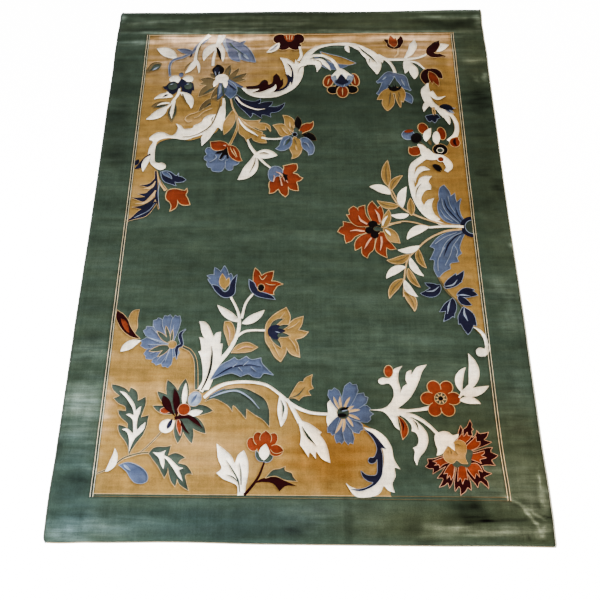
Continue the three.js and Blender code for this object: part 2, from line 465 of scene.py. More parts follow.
# The double bud under the blue stem, with leaves on a pale stem below it
start_at(-550, 660)
weave("blue", oval((49, 116), 20, 26))
weave("cream", oval((24, 91), 48, 44, -14), oval((79, 91), 46, 42, 14))
rimmed("navy", closed((-25, 51, 1), (-11, 55), (1, 72), (19, 79), (35, 70), (47, 54), (47, 37), (33, 18),
    (18, 8), (2, 16), (-5, 33), (-15, 37)), closed((54, 52, 1), (62, 70), (83, 76), (100, 70), (106, 52),
    (109, 27, 1), (101, 30), (99, 15), (96, 1, 1), (78, 7), (59, 23)), edge="olive")
weave("leaf", oval((17, 53), 40, 40, 20), oval((83, 54), 34, 38, -10))
weave("pale", leaf((6, 61), (20, 67), 5), leaf((72, 63), (86, 65), 5))
weave("navy", closed((42, 78, 1), (51, 93), (66, 86), (79, 69), (66, 56), (52, 46, 1), (39, 64)))
weave("cream", band([(48, 40), (43, 8), (32, -15), (22, -36)], 9, 11, 10, 12),
    leaf((22, -4), (-56, -18), 28, -0.16, 0.4), leaf((4, 4), (-6, 24), 12),
    leaf((50, 20), (103, -70), 34, 0.16), band([(30, -26), (5, -62), (-12, -84)], 10, 9, 12),
    leaf((2, -56), (-79, -124), 40, 0.1, 0.45))
weave("navy", leaf((4, 8), (-20, -8), 9, -0.1))
start_at(-530, 535)
weave("olive", band([(41, 135), (52, 107), (66, 78)], 7, 7, 2), leaf((-2, 81), (-84, 64), 30, -0.1, 0.55),
    leaf((14, 91), (7, -17), 36, -0.04, 0.5))
weave("leaf", leaf((-18, 71), (-74, 63), 12), band([(19, 71), (17, 35), (8, -3)], 6, 8, 2),
    band([(-5, 55), (-7, 35), (3, 5)], 4, 7, 2))
weave("cream", leaf((-4, 83), (-60, 71), 10, -0.14),
    band([(11, 99), (6, 55), (4, 27), (6, 5)], 10, 12, 15, 2))
weave("tan", band([(180, 87), (145, 61), (110, 37), (75, 21), (62, 1), (74, -15), (90, -9)], 4, 4, 4, 3),
    band([(186, 65), (138, 39), (115, 13), (98, 5)], 4, 3))

# The dark eyed flower at the head of the great scroll
start_at(-360, 700)
rimmed("olive", leaf((54, 52), (67, 131), 28, 0.06), leaf((58, 47), (104, 112), 24, -0.04),
    leaf((62, 43), (138, 84), 28, -0.06), leaf((66, 36), (134, 49), 20), leaf((6, 57), (-18, 85), 22),
    leaf((9, 43), (-59, 53), 34, 0.06), leaf((6, 29), (-59, 23), 26, -0.06),
    leaf((15, 22), (-61, -45), 42, -0.06), leaf((24, 15), (-9, -55), 24, 0.04),
    leaf((38, -51), (-55, -128), 30, -0.12))
weave("leaf", leaf((7, 6), (-43, -32), 9), leaf((25, -69), (-33, -113), 9, -0.1),
    leaf((62, 70), (68, 110), 6), leaf((77, 52), (117, 75), 6))
weave("black", leaf((4, 62), (10, 134), 52, -0.1, 0.55), leaf((14, 80), (36, 88), 18))
weave("navy", oval((8, 102), 20, 36, -20))
weave("pale", leaf((8, 68), (0, 98), 5), leaf((18, 72), (20, 94), 4))
weave("blue", band([(60, 44), (90, 22), (124, 4)], 16, 18, 10))
rimmed("blue", leaf((46, 50), (74, -56), 56, 0.08, 0.56), rim=2.5)
weave("navy", band([(60, 26), (78, 6), (96, -8)], 3, 9, 3))
rimmed("blue", leaf((30, 38), (20, -58), 32, 0.1), edge="leaf", rim=3)
weave("pale", leaf((26, 16), (20, -44), 9, 0.1))
weave("leaf", leaf((36, 38), (46, -52), 11))
weave("cream", oval((33, 54), 56, 50), leaf((16, 52), (0, 8), 22), leaf((48, 50), (50, 2), 20))

# The great cream acanthus scroll, its arm bending round to a curl
start_at(-595, 430)
weave("cream", band([(280, 216), (283, 180), (277, 130), (269, 90)], 9, 14, 30, 40), closed((283, 170),
    (289, 130), (291, 90), (281, 44, 1), (265, 62), (251, 40), (229, 0), (203, -32, 1), (199, 10),
    (205, 26), (175, 14), (135, 0), (95, 6), (55, 8), (25, -6), (17, -40), (18, -80), (21, -108),
    (35, -116), (49, -114), (65, -124), (65, -140), (49, -150), (29, -142), (5, -118), (-9, -80),
    (-7, -40), (5, -10), (-11, 0, 1), (-9, 14), (15, 36), (43, 38), (75, 22), (93, 32), (101, 60),
    (92, 82, 1), (113, 72), (125, 52), (121, 54, 1), (159, 60), (165, 72, 1), (195, 90), (205, 110),
    (225, 126), (255, 132), (271, 170)))
start_at(-360, 545)
weave("olive", band([(32, 95), (30, 55), (18, 5), (-2, -45), (-42, -81), (-80, -98), (-110, -98)], 4, 6, 7,
    7, 5, 4, 2), band([(8, -23), (2, -15), (8, 3)], 3, 6, 2))
weave("gold", closed((-6, 95), (20, 83), (24, 55), (14, 15), (8, 35), (-4, 59)))

# Hanging spray right of the scroll: gold leaves on tan stems
start_at(-250, 460)
weave("tan", band([(-35, 182), (-25, 138), (-10, 103), (1, 82)], 8, 7, 7, 6))
rimmed("gold", band([(-9, 99), (0, 49), (-8, 4), (-29, -59)], 3, 5, 6, 6), closed((-11, 97, 1), (-23, 117),
    (-40, 92), (-56, 61), (-60, 34), (-54, -3, 1), (-37, 14), (-22, 40), (-13, 66)), rim=2)
rimmed("gold", closed((-5, 90, 1), (1, 62), (5, 30), (10, 1), (31, -20), (40, -42, 1), (44, -28),
    (59, -17, 1), (69, -35), (95, -46), (118, -46, 1), (112, -25), (110, -9), (97, -6, 1), (100, 6),
    (73, 19), (52, 33), (28, 56)), closed((1, 86, 1), (28, 68), (61, 63), (89, 67, 1), (85, 53), (110, 50),
    (129, 38), (134, 10, 1), (125, 27), (112, 35), (114, 20, 1), (95, 19), (75, 30), (54, 36), (33, 49)),
    rim=2.5)
weave("cream", band([(1, 80), (15, 51), (36, 25), (63, 4), (84, -13)], 3, 8, 11, 9, 3))
weave("tan", band([(7, 80), (28, 55), (52, 34), (78, 17)], 2, 5, 5, 2))

# Navy feather leaf right of the flower
start_at(-200, 545)
rimmed("navy", closed((-61, 120, 1), (-38, 98), (-11, 86), (17, 83), (39, 96, 1), (38, 77), (28, 67, 1),
    (51, 77), (71, 80), (90, 79, 1), (84, 63), (73, 54, 1), (103, 53), (126, 63), (141, 75, 1), (130, 45),
    (109, 26), (82, 19), (84, -2, 1), (68, 7), (46, 11), (47, -8, 1), (32, 4), (7, 20), (8, 9), (0, -3, 1),
    (-19, 22), (-47, 54), (-70, 93, 1)))
weave("cream", band([(-63, 107), (-40, 74), (-6, 51), (26, 39), (58, 41)], 8, 8, 7, 6, 1.5))

# Flower of eight long petals in many yarns, on its cream stem
start_at(-65, 430)
weave("cream", band([(-87, 10), (-58, 3), (-11, 4), (23, 13)], 9, 8, 8))
rimmed("gold", closed((0, 121, 1), (19, 117), (37, 104), (44, 87), (43, 58), (39, 38, 1), (18, 58),
    (8, 77), (6, 99)), closed((-40, 71, 1), (-21, 76), (2, 74), (18, 56), (33, 27, 1), (18, 20), (2, 15),
    (-12, 22), (-22, 44)), closed((45, 11, 1), (61, 4), (73, -18), (77, -40), (69, -71), (55, -89),
    (38, -95, 1), (40, -76), (30, -51), (31, -24), (38, -4)), rim=2.5)
rimmed("orange", closed((66, 45, 1), (76, 69), (95, 80), (110, 80), (121, 88, 1), (122, 69), (111, 49),
    (92, 39), (78, 31, 1)), rim=2.5)
rimmed("black", closed((54, 53, 1), (46, 78), (50, 101), (58, 117, 1), (70, 101), (75, 80), (70, 61),
    (64, 48, 1)), closed((76, 25, 1), (94, 35), (112, 31), (127, 17), (135, -6, 1), (117, -7), (94, 4)),
    edge="olive")
rimmed("blue", closed((35, 8, 1), (18, 16), (2, 9), (-8, -12), (-14, -33), (-27, -47, 1), (-10, -56),
    (7, -54), (25, -41), (35, -18)), closed((73, 3, 1), (90, 8), (108, -6), (123, -33), (124, -57),
    (117, -74), (104, -77, 1), (100, -62), (83, -46), (76, -27)), rim=2.5)
weave("tan", leaf((29, 58), (26, 91), 7), band([(-6, 60), (9, 38), (21, 25)], 2, 5, 2),
    leaf((57, -57), (51, -29), 7))
weave("olive", leaf((39, 44), (32, 73), 5), leaf((45, 3), (57, -31), 6))
weave("leaf", leaf((30, 6), (9, -31), 11))
weave("pale", band([(3, -29), (9, -7), (25, 8)], 2.5), band([(85, -17), (98, -22), (106, -41)], 2, 4, 2))
weave("leaf", oval((52, 49), 21, 22), oval((64, 12), 18, 20), oval((70, 34), 16, 18))
rimmed("black", oval((47, 25), 19, 20), edge="pale", rim=2)

# Flower half orange, half blue, below the gold leaves
start_at(-320, 325)
rimmed("blue", closed((-30, 60, 1), (-46, 63), (-55, 49), (-47, 29), (-56, 20), (-57, 7), (-44, -3),
    (-46, -18), (-39, -32), (-28, -35), (-22, -49), (-3, -54), (14, -51), (24, -35), (28, -16, 1),
    (33, -40), (46, -47), (58, -42), (59, -25), (75, -19), (80, -4), (53, 14), (35, 64), (2, 69)), rim=2)
rimmed("orange", closed((-37, 93, 1), (1, 97), (21, 91), (36, 79, 1), (29, 60), (9, 53), (-11, 50),
    (-30, 62)), closed((33, 76, 1), (50, 74), (67, 64), (81, 41), (85, 19), (93, -1, 1), (78, -3), (61, 6),
    (44, 24), (35, 51)), rim=2)
weave("tan", band([(43, 67), (52, 45), (70, 16)], 2, 4, 2), band([(56, 60), (65, 39), (73, 19)], 2, 4, 2))
weave("pink", band([(16, 76), (27, 75)], 4, 8))
weave("black", closed((31, 68, 1), (36, 39), (41, 11), (34, 8, 1), (30, 26), (22, 26), (13, 11), (2, 5, 1),
    (4, 19), (10, 35), (0, 34), (-16, 34, 1), (-7, 45), (9, 50), (23, 57)))
weave("pale", band([(-15, 29), (-9, 16), (-21, 2), (-36, -6)], 2, 3, 3, 2), band([(13, 40), (4, 21),
    (1, 8), (12, 1), (21, 8), (29, 26)], 1.5, 2.5, 1.5), band([(28, -15), (28, -1), (37, 2)], 3, 3, 2))

# Cream sprig with three leaves and an orange and blue flower at its end
start_at(-120, 225)
weave("cream", band([(-88, 205), (-74, 167), (-52, 133), (-22, 93), (8, 63)], 7, 12, 14, 10, 7),
    leaf((-56, 127), (34, 124), 46, 0.07), leaf((-56, 137), (-120, 7), 52, 0.14, 0.55))
weave("olive", leaf((-40, 135), (2, 131), 8, 0.1), band([(-52, 115), (-58, 80), (-74, 41)], 2, 6, 2))
rimmed("orange", closed((59, 25, 1), (55, 42), (62, 62), (59, 72, 1), (80, 78), (96, 82), (110, 81, 1),
    (113, 66), (109, 52), (96, 38), (114, 31), (122, 20), (133, 14, 1), (124, 3), (110, -3), (114, -22),
    (117, -45, 1), (101, -44), (85, -37), (78, -27), (78, -51), (76, -65), (67, -74, 1), (51, -58),
    (41, -38), (33, -44), (21, -55), (7, -58, 1), (8, -41), (5, -27), (5, -9), (13, 5), (34, 23),
    (50, 16)), rim=3)
rimmed("blue", closed((9, 63, 1), (23, 70), (39, 68), (54, 54), (53, 37), (42, 26), (28, 22), (19, -1, 1),
    (7, 6), (1, 26), (1, 47)), rim=2.5)
weave("black", closed((50, 44, 1), (63, 34), (77, 29, 1), (73, 23), (77, 6, 1), (63, 2), (59, 23)),
    leaf((44, 18), (52, -14), 9))
weave("pink", band([(30, 44), (45, 37), (57, 20)], 2, 6, 3), band([(22, 29), (24, 16), (20, -3)], 2, 5, 4),
    band([(43, 25), (48, 9), (54, -22)], 2, 5, 6), band([(58, 18), (66, -1)], 4, 2),
    band([(71, 4), (76, -8)], 3))

# Left of the curl: navy leaf, navy bud, orange tulip and the navy acanthus
start_at(-550, 220)
weave("navy", leaf((-46, 142), (-104, 64), 30, 0.1), oval((-96, 98), 18, 30, -20))
weave("cream", leaf((-42, 132), (-67, 52), 24, -0.1))
weave("tan", band([(-12, 54), (4, 5), (32, -38)], 8, 12, 14))
weave("maroon", band([(-8, 52), (7, 8), (30, -32)], 2, 3, 2))
rimmed("navy", closed((5, 49, 1), (20, 55), (40, 51), (57, 38), (69, 31), (76, 45, 1), (76, 30), (90, 25),
    (106, 12, 1), (93, 3), (76, 0), (63, 2), (68, -15, 1), (49, -7), (26, 2), (12, 20)), rim=2)
rimmed("blue", leaf((11, 49), (50, 19), 15, 0.06, 0.4), rim=2)
start_at(-560, 115)
rimmed("orange", closed((47, 61, 1), (57, 70), (76, 74), (96, 70), (114, 65), (123, 74, 1), (125, 60),
    (120, 46), (129, 28), (139, 1, 1), (125, -2), (109, 1), (97, 11), (89, 24, 1), (90, 2), (84, -15),
    (66, -28, 1), (69, -7), (62, 11), (48, 25), (44, 42)), rim=3)
rimmed("navy", band([(-6, 160), (2, 95), (8, 35), (20, -19)], 8, 12, 12, 2),
    band([(0, 129), (-22, 93), (-62, 91)], 8, 18, 3), band([(2, 99), (-24, 49), (-66, 51)], 8, 26, 4),
    band([(0, 73), (-30, 27), (-92, 33)], 8, 24, 3), band([(6, 35), (-30, -7), (-82, -11)], 8, 24, 3),
    band([(8, 13), (-30, -31), (-95, -73)], 12, 38, 6), edge="tan")
weave("tan", band([(-3, 111), (-16, 85), (-46, 74)], 4, 13, 3),
    band([(2, 67), (-14, 33), (-40, 9), (-74, 5)], 6, 15, 10, 3))
weave("pale", band([(16, 115), (12, 55), (24, -15)], 2, 3, 1.5),
    band([(4, 7), (-20, -29), (-70, -59)], 2))


# Far end, middle: a dark red flower and the C scroll with its frilled inside
start_at(-90, 905)
rimmed("maroon", oval((6, 71), 60, 52), oval((22, 31), 56, 46, 20), oval((70, 31), 56, 46, -20),
    oval((84, 71), 54, 52), oval((45, 57), 76, 66), rim=3)
weave("orange", closed((24, 91), (32, 63), (46, 57), (60, 63), (66, 91)))
weave("tan", band([(32, 91), (36, 69)], 3, 2), band([(46, 91), (46, 67)], 3, 2),
    band([(58, 91), (56, 69)], 3, 2))
weave("cream", leaf((2, 51), (-52, -7), 30, 0.1))
weave("pale", leaf((-4, 43), (-42, 3), 10, 0.1))
start_at(-115, 695)
weave("cream", closed((-127, 5, 1), (-108, -20), (-82, -38), (-49, -47), (-12, -48), (24, -41), (59, -24),
    (90, -1), (112, 28), (126, 61), (132, 94), (133, 128), (129, 151), (115, 143), (97, 164, 1),
    (95, 138, 1), (80, 155), (60, 169), (31, 174, 1), (43, 151), (52, 121), (58, 87, 1), (66, 50),
    (63, 24), (48, 3), (26, -8), (21, 3), (16, 29, 1), (0, 10), (-50, 3), (-108, 8, 1)),
    band([(115, 237), (123, 185), (109, 155)], 9, 12, 10),
    band([(126, 132), (140, 143), (163, 150)], 26, 24, 22))
weave("maroon", closed((-109, 16, 1), (-78, 17), (-56, 24), (-45, 42), (-30, 51), (-18, 43), (-15, 23, 1),
    (0, 32), (5, 54), (5, 69), (18, 85, 1), (31, 69), (37, 47), (45, 58, 1), (47, 25), (36, 4), (23, -9),
    (-3, -20, 1), (12, -8), (19, 7), (16, 26, 1), (6, 12), (-22, -5), (-49, -16), (-81, -18, 1), (-63, -9),
    (-51, 1, 1), (-78, -1), (-107, 1, 1)))
weave("navy", closed((6, -18, 1), (34, -1), (51, 10), (62, 28), (65, 54), (56, 82, 1), (70, 77),
    (81, 65, 1), (81, 102), (63, 144, 1), (79, 128), (89, 95), (91, 57), (83, 18, 1), (78, 40, 1),
    (72, 21), (62, 6), (40, -10)))
weave("dusk", band([(111, 91), (115, 111), (128, 124), (151, 128)], 1.5, 4, 4, 2))

# The arched scroll to the right of it, its hanging acanthus leaf, and the branch inside
start_at(55, 845)
weave("green", closed((-31, 5), (5, 60), (65, 93), (160, 91), (225, 55), (275, 5), (195, -45), (45, -45)))
weave("cream", band([(-43, -7), (-17, 41), (25, 81), (85, 99), (160, 98), (207, 75), (263, 33), (295, 5)],
    22, 24, 17, 13, 18, 30, 34, 12), leaf((150, 97), (159, 49), 20, -0.1),
    leaf((197, 93), (235, 7), 32, 0.06), leaf((215, 75), (273, -73), 56, 0.1, 0.55),
    leaf((257, 35), (267, -45), 40), leaf((265, 35), (299, -7), 26, 0.1))
weave("leaf", band([(197, 87), (219, 55), (247, 27), (275, -11)], 2, 8, 9, 2),
    band([(245, 15), (241, -9)], 5, 2))
rimmed("gold", leaf((35, 55), (183, -9), 44, -0.1, 0.55), edge="pale", rim=3)
rimmed("blue", leaf((7, 37), (151, -21), 36, -0.2, 0.55), rim=2)
weave("gold", leaf((41, 51), (141, 5), 18, -0.1))
weave("cream", band([(-29, 13), (5, 33), (49, 31), (89, 3), (111, -45)], 14, 14, 13, 14, 14),
    band([(-41, -9), (1, 1), (25, -17), (20, -57)], 20, 32, 26, 3),
    band([(1, 7), (37, 3), (61, -21), (77, -49)], 14, 24, 18, 3))
weave("olive", band([(5, 13), (33, 1), (43, -23)], 2, 5, 2))

# The trefoil flower under the branch
start_at(145, 695)
rimmed("black", oval((-5, -7), 44, 40), oval((75, -5), 46, 40), oval((35, 9), 60, 36), rim=3)
rimmed("orange", oval((-23, 41), 38, 62, -14), oval((87, 47), 34, 66, 10), oval((35, -17), 44, 60), rim=4)
weave("tan", leaf((35, 5), (35, -39), 5), leaf((-19, 57), (-27, 21), 5), leaf((85, 63), (89, 23), 5))
weave("pale", closed((-11, 73), (5, 25), (35, 9), (67, 25), (83, 73), (35, 85)))
weave("blue", leaf((5, 49), (27, 9), 20), leaf((69, 49), (45, 9), 20), leaf((35, 57), (35, 5), 20))
weave("navy", closed((29, 81, 1), (9, 39), (5, 33), (35, 21), (61, 33), (61, 39)))
weave("cream", closed((-9, 65), (5, 91), (29, 111), (55, 93), (81, 65, 1), (61, 73), (51, 51, 1), (33, 81),
    (13, 51, 1), (7, 73)))

# Far right corner: three tulips on branching stems
start_at(400, 855)
weave("cream", band([(-60, 11), (-20, 0), (50, 1), (110, 11), (150, 33)], 16, 14, 14, 11, 8),
    band([(-64, 25), (-24, -9), (-2, -51), (5, -99)], 14, 13, 13, 13),
    band([(50, 7), (76, 43), (90, 83), (96, 117)], 10, 28, 34, 3), leaf((48, 1), (45, -79), 30, 0.1),
    leaf((54, -3), (83, -111), 38, 0.1, 0.6), band([(52, -9), (96, -19), (128, -55)], 10, 10, 7),
    leaf((166, 47), (242, 81), 44, 0.05))
weave("tan", band([(4, 11), (20, 31), (24, 63)], 7, 8, 7))
rimmed("maroon", oval((7, 83), 62, 50), leaf((0, 77), (-37, 115), 26, -0.1),
    leaf((16, 75), (38, 133), 30, -0.1), rim=2)
rimmed("orange", leaf((8, 69), (-8, 135), 32), leaf((10, 71), (14, 123), 20), rim=2)
start_at(540, 710)
rimmed("maroon", band([(63, 254), (38, 216), (18, 186), (30, 168), (58, 166), (82, 160)], 4, 34, 42, 30,
    20, 6), rim=2)
rimmed("maroon", leaf((10, 92), (-3, 0), 44, -0.14), leaf((-6, 80), (59, 36), 46, 0.12),
    oval((4, 74), 34, 30), rim=2)
rimmed("orange", leaf((6, 76), (40, -4), 28, 0.04), leaf((5, 68), (16, 8), 14), rim=2)

# Blue and gold tulip hanging beside them
start_at(365, 675)
rimmed("blue", band([(43, 97), (11, 91), (-15, 67), (-39, 53)], 12, 36, 28, 10), band([(19, 85), (-3, 47),
    (-19, 13), (-39, -11)], 28, 30, 24, 10), band([(35, 97), (63, 71), (77, 33), (97, 9)], 14, 42, 32, 6),
    leaf((59, -7), (97, -61), 36, 0.1), rim=2.5)
rimmed("gold", leaf((19, 19), (-41, -39), 38, 0.06), leaf((21, 15), (-3, -99), 48, -0.04, 0.6),
    leaf((37, 15), (51, -81), 18), leaf((59, 25), (63, -53), 34, -0.06), oval((33, 9), 56, 32), rim=2.5)
weave("black", closed((5, 41, 1), (9, 13), (31, 3), (55, 15), (63, 37, 1), (41, 25), (33, 73, 1),
    (23, 27)))
weave("leaf", leaf((33, 73), (31, 27), 12))
weave("olive", leaf((15, 1), (3, -75), 6), leaf((47, -1), (53, -35), 6), leaf((43, -13), (47, -69), 4))
weave("pale", leaf((1, 85), (-17, 65), 7), leaf((61, 71), (75, 31), 6))

# The S scroll down the right, with its dark bells and the cluster of berries
start_at(540, 535)
weave("cream", band([(-4, 186), (-16, 144), (-11, 97), (18, 59), (54, 42), (85, 6), (97, -42), (88, -86),
    (60, -120)], 8, 38, 34, 24, 18, 15, 16, 20, 26), band([(2, 138), (28, 105), (64, 115)], 28, 18, 2),
    leaf((4, 95), (-30, 34), 24, -0.1), leaf((34, 44), (68, -36), 24, 0.1),
    leaf((20, 52), (46, 2), 18, 0.1))
weave("tan", band([(9, 57), (12, 10)], 13))
rimmed("navy", oval((0, 3), 44, 30), leaf((0, 1), (-26, 9), 22), leaf((4, 13), (32, 1), 24),
    leaf((-10, 5), (-10, -19), 20), leaf((8, 7), (10, -23), 22), rim=2)
weave("olive", band([(9, 45), (12, 13)], 5))
rimmed("pale", leaf((56, 51), (92, 25), 20), leaf((62, 55), (100, 51), 10))
weave("navy", leaf((32, 57), (92, 39), 30, 0.16), leaf((56, 49), (80, 31), 6))
start_at(475, 345)
rimmed("orange", oval((147, 66), 40, 44), leaf((145, 75), (163, 91), 16), rim=2.5)
weave("maroon", leaf((151, 87), (155, 47), 12, -0.2))
rimmed("orange", oval((25, 137), 38, 54, 12), oval((97, 111), 32, 62, 6), oval((-14, 23), 50, 42, 20),
    leaf((-23, 7), (-35, 43), 20), rim=2.5)
rimmed("blue", oval((-37, 105), 48, 46, 20), rim=2.5)
weave("orange", oval((-33, 124), 38, 16, 10))
weave("black", oval((-5, 89), 44, 52, -18))
weave("cream", leaf((33, 71), (57, 139), 30, 0.08), oval((75, 91), 30, 62, -4),
    leaf((77, 55), (73, 75), 14), closed((-3, 57), (17, 55), (39, 35), (65, 7), (97, 1), (65, -19),
    (25, -15), (9, 7), (5, 35)))
weave("olive", leaf((43, 83), (51, 51), 16), band([(7, 71), (25, 51), (41, 27)], 3, 4, 2))
rimmed("black", oval((86, 30), 58, 56), rim=2)
rimmed("leaf", oval((85, 27), 24, 22), edge="cream", rim=2)

# The great loop scroll on the right, gold inside it
start_at(445, 195)
weave("cream", band([(130, 74), (145, 98), (130, 131), (97, 148), (59, 147), (23, 121), (2, 98), (-8, 53)],
    16, 30, 26, 22, 24, 26, 24, 22), band([(-7, 59), (-6, -6), (16, -82), (52, -138), (97, -170),
    (143, -179), (180, -178)], 23, 20, 27, 27, 15, 11, 9),
    band([(93, 141), (62, 174), (33, 204)], 22, 22, 3), closed((0, 47, 1), (21, 90), (40, 99), (57, 93),
    (69, 81, 1), (49, 79), (28, 68), (15, 47), (7, 20, 1)), closed((2, -6, 1), (16, 17), (25, 41),
    (47, 53), (74, 52, 1), (62, 36), (59, 22), (67, 5), (64, -13, 1), (47, -15), (34, -30), (25, -53),
    (24, -76), (27, -99, 1), (3, -59)), closed((26, -110, 1), (35, -82), (49, -62), (74, -53, 1),
    (64, -76), (63, -99), (71, -126), (89, -150), (61, -150, 1)))
weave("olive", band([(29, 16), (15, -4), (7, -27), (4, -51)], 2, 5, 4, 2))
weave("black", leaf((78, 106), (116, 78), 26, 0.05), leaf((85, 92), (111, 71), 12))
rimmed("orange", oval((114, 133), 24, 22), edge="cream", rim=2)

# Right middle: a half ring at the guard line, blue leaves up and down from it
start_at(530, 30)
rimmed("blue", closed((97, 9, 1), (84, 37), (81, 71), (91, 109, 1), (73, 91, 1), (69, 112), (69, 134, 1),
    (53, 120, 1), (47, 146), (31, 173, 1), (16, 161), (9, 135), (9, 106, 1), (0, 83), (0, 55), (7, 29),
    (27, 7), (59, -3), (89, -4, 1)), rim=2)
weave("navy", band([(26, 106), (32, 72), (53, 37), (80, 3)], 2, 5, 5, 2),
    band([(67, 69), (73, 37), (92, 6)], 1.5, 5, 2))
weave("pale", band([(17, 112), (22, 69), (43, 31), (73, 0)], 2.5),
    band([(42, 120), (47, 80), (64, 43)], 2.5), band([(8, 60), (24, 29), (50, 7)], 2.5))
start_at(510, -110)
rimmed("blue", closed((115, 100, 1), (81, 106), (43, 96), (7, 73), (-21, 37, 1), (-6, 25), (-25, -18, 1),
    (-10, -23), (-14, -60), (-1, -96, 1), (18, -73), (45, -56, 1), (46, -35), (77, -27, 1), (73, -8),
    (91, 8, 1), (86, 31), (96, 63)), rim=2)
weave("navy", band([(109, 96), (79, 82), (47, 47), (26, -4)], 3, 6, 7, 2))
weave("pale", band([(99, 98), (62, 78), (32, 45), (10, -8)], 2.5),
    band([(81, 98), (35, 78), (-3, 49)], 2.5), band([(95, 84), (64, 41), (50, 2), (27, -43)], 2.5),
    band([(31, 33), (4, -18), (0, -66)], 2.5), band([(67, 43), (77, 19), (70, -8)], 2.5))
weave("navy", oval((144, 123), 94, 92))
rimmed("leaf", oval((146, 123), 58, 58), edge="pale", rim=2.5)
weave("green", band([(171, 190), (171, 56)], 53))

# The spray of small leaves above and below, on tan stems from the ring
start_at(345, -290)
weave("tan", band([(267, 300), (205, 314), (155, 330), (105, 352), (55, 382), (19, 430), (1, 494)], 9, 8,
    7, 7, 6, 6, 5), band([(55, 382), (41, 400), (7, 490)], 5, 5, 4), band([(267, 294), (205, 284),
    (145, 254), (97, 210), (57, 160), (41, 90), (33, 8)], 9, 8, 7, 7, 6, 6, 5), band([(215, 306),
    (155, 302), (95, 322), (49, 328), (-7, 316)], 8, 7, 6, 5, 5))
weave("cream", band([(275, 304), (215, 306), (145, 301)], 11, 10, 8))
for yarn, rim_yarn, leaves in (("gold", "tan", (((1, 492), (4, 610), 32, 0.06), ((11, 470), (57, 538), 24,
    0.12), ((35, 398), (-42, 418), 26, 0.12), ((83, 356), (83, 429), 25, 0), ((63, 182), (-17, 158), 29,
    0.15), ((99, 204), (121, 128), 23, -0.12), ((57, 122), (93, 48), 22, -0.1), ((35, 78), (-17, 4), 27,
    -0.1), ((35, 28), (69, -48), 29, 0.12))), ("cream", "cream", (((7, 450), (-71, 486), 35, -0.12),
    ((51, 389), (72, 486), 32, 0.12), ((73, 359), (5, 356), 22, 0.1), ((145, 302), (60, 248), 34, -0.14),
    ((103, 220), (23, 202), 26, 0.12), ((67, 168), (111, 92), 25, -0.12), ((47, 130), (-25, 82), 30,
    -0.12), ((41, 74), (83, 8), 25, -0.12)))):
    shapes = [leaf(base, tip, wide, bend) for base, tip, wide, bend in leaves]
    rimmed(yarn, *shapes, edge=rim_yarn, rim=2.5 if yarn == "gold" else 0.5)
    weave("olive", *(leaf(base, tip, 4, bend) for base, tip, wide, bend in leaves if yarn == "gold"))

# The large orange flower with its dark eye, fringed in gold on the stem side
start_at(250, -30)
weave("tan", band([(71, 39), (91, 50), (114, 59), (136, 63)], 5, 6, 5))
rimmed("gold", closed((64, 42, 1), (66, 71), (77, 97), (92, 119, 1), (99, 98), (95, 70), (82, 46)),
    closed((68, 34, 1), (73, 3), (92, -19), (127, -27, 1), (119, 9), (102, 30), (80, 39)), rim=2)
weave("cream", leaf((67, 48), (89, 94), 9, 0.1), leaf((74, 32), (95, 4), 9, 0.06))
for shape in (closed((0, 43), (-19, 48), (-41, 57), (-60, 62), (-81, 67, 1), (-81, 48), (-92, 40),
    (-103, 23, 1), (-89, 13), (-78, 8, 1), (-77, -8), (-73, -27, 1), (-54, -18), (-40, -1), (-22, 10),
    (2, 19)), closed((19, 47, 1), (-8, 45), (-30, 48), (-49, 63), (-67, 97, 1), (-56, 99), (-58, 120),
    (-42, 135, 1), (-29, 126), (-22, 114, 1), (-22, 130), (2, 139, 1), (2, 116), (7, 93), (20, 69)),
    closed((30, 64, 1), (18, 93), (13, 124), (19, 144), (31, 157, 1), (44, 138), (52, 124, 1), (57, 133),
    (63, 137, 1), (70, 115), (71, 92), (62, 67), (54, 55, 1)), closed((25, 17, 1), (-5, 11), (-30, -9),
    (-40, -31), (-39, -58, 1), (-23, -50), (-15, -43), (-15, -70), (-8, -83), (4, -91, 1), (11, -73),
    (26, -58), (33, -31), (36, 4, 1)), closed((54, 20, 1), (43, -9), (35, -40), (38, -62), (53, -77),
    (76, -90, 1), (74, -70), (76, -46, 1), (91, -55), (110, -53, 1), (96, -31), (80, -11), (70, 20, 1))):
    rimmed("orange", shape, rim=2)
weave("pink", band([(-23, 94), (-14, 73), (9, 56)], 2, 9, 7),
    band([(-57, 25), (-34, 29), (-2, 24)], 2, 8, 7), band([(40, 121), (52, 98), (58, 64)], 2, 9, 7),
    band([(59, 1), (60, -26), (53, -59)], 7, 8, 2), band([(23, -4), (10, -23), (-6, -53)], 6, 7, 1.5))
weave("black", oval((30, 55), 36, 32), oval((14, 28), 28, 30), oval((35, 9), 30, 34),
    oval((41, 33), 34, 40))
rimmed("leaf", oval((46, 35), 27, 19), edge="olive")
weave("black", leaf((47, 48), (61, 45), 5))

# Dark leaves on a grey green stem under it, and the cream hook at the guard line
start_at(505, -320)
weave("olive", band([(4, 118), (14, 90), (32, 55), (65, 18), (88, -27)], 7, 6, 6, 5, 4))
for leaves in ((((21, 77), (97, 143), 32, -0.1), ((25, 71), (87, 99), 26, 0.1), ((22, 86), (68, 133), 22,
    -0.1)), (((8, 82), (-65, 51), 36, 0.16), ((3, 80), (-46, 93), 20, 0.1), ((7, 86), (-24, 40), 20,
    -0.1)), (((64, 44), (138, 44), 34, 0.1), ((69, 47), (129, 65), 22, 0.1), ((68, 40), (113, 5), 26,
    -0.1)), (((47, 32), (9, -60), 34, 0.1), ((41, 25), (-2, -22), 24, 0.1), ((43, 14), (47, -44), 24,
    -0.1)), (((82, -4), (88, -112), 50, 0.04), ((90, -9), (121, -79), 36, -0.06), ((79, -17), (60, -72),
    30, 0.1))):
    rimmed("navy", *(leaf(*shape) for shape in leaves))
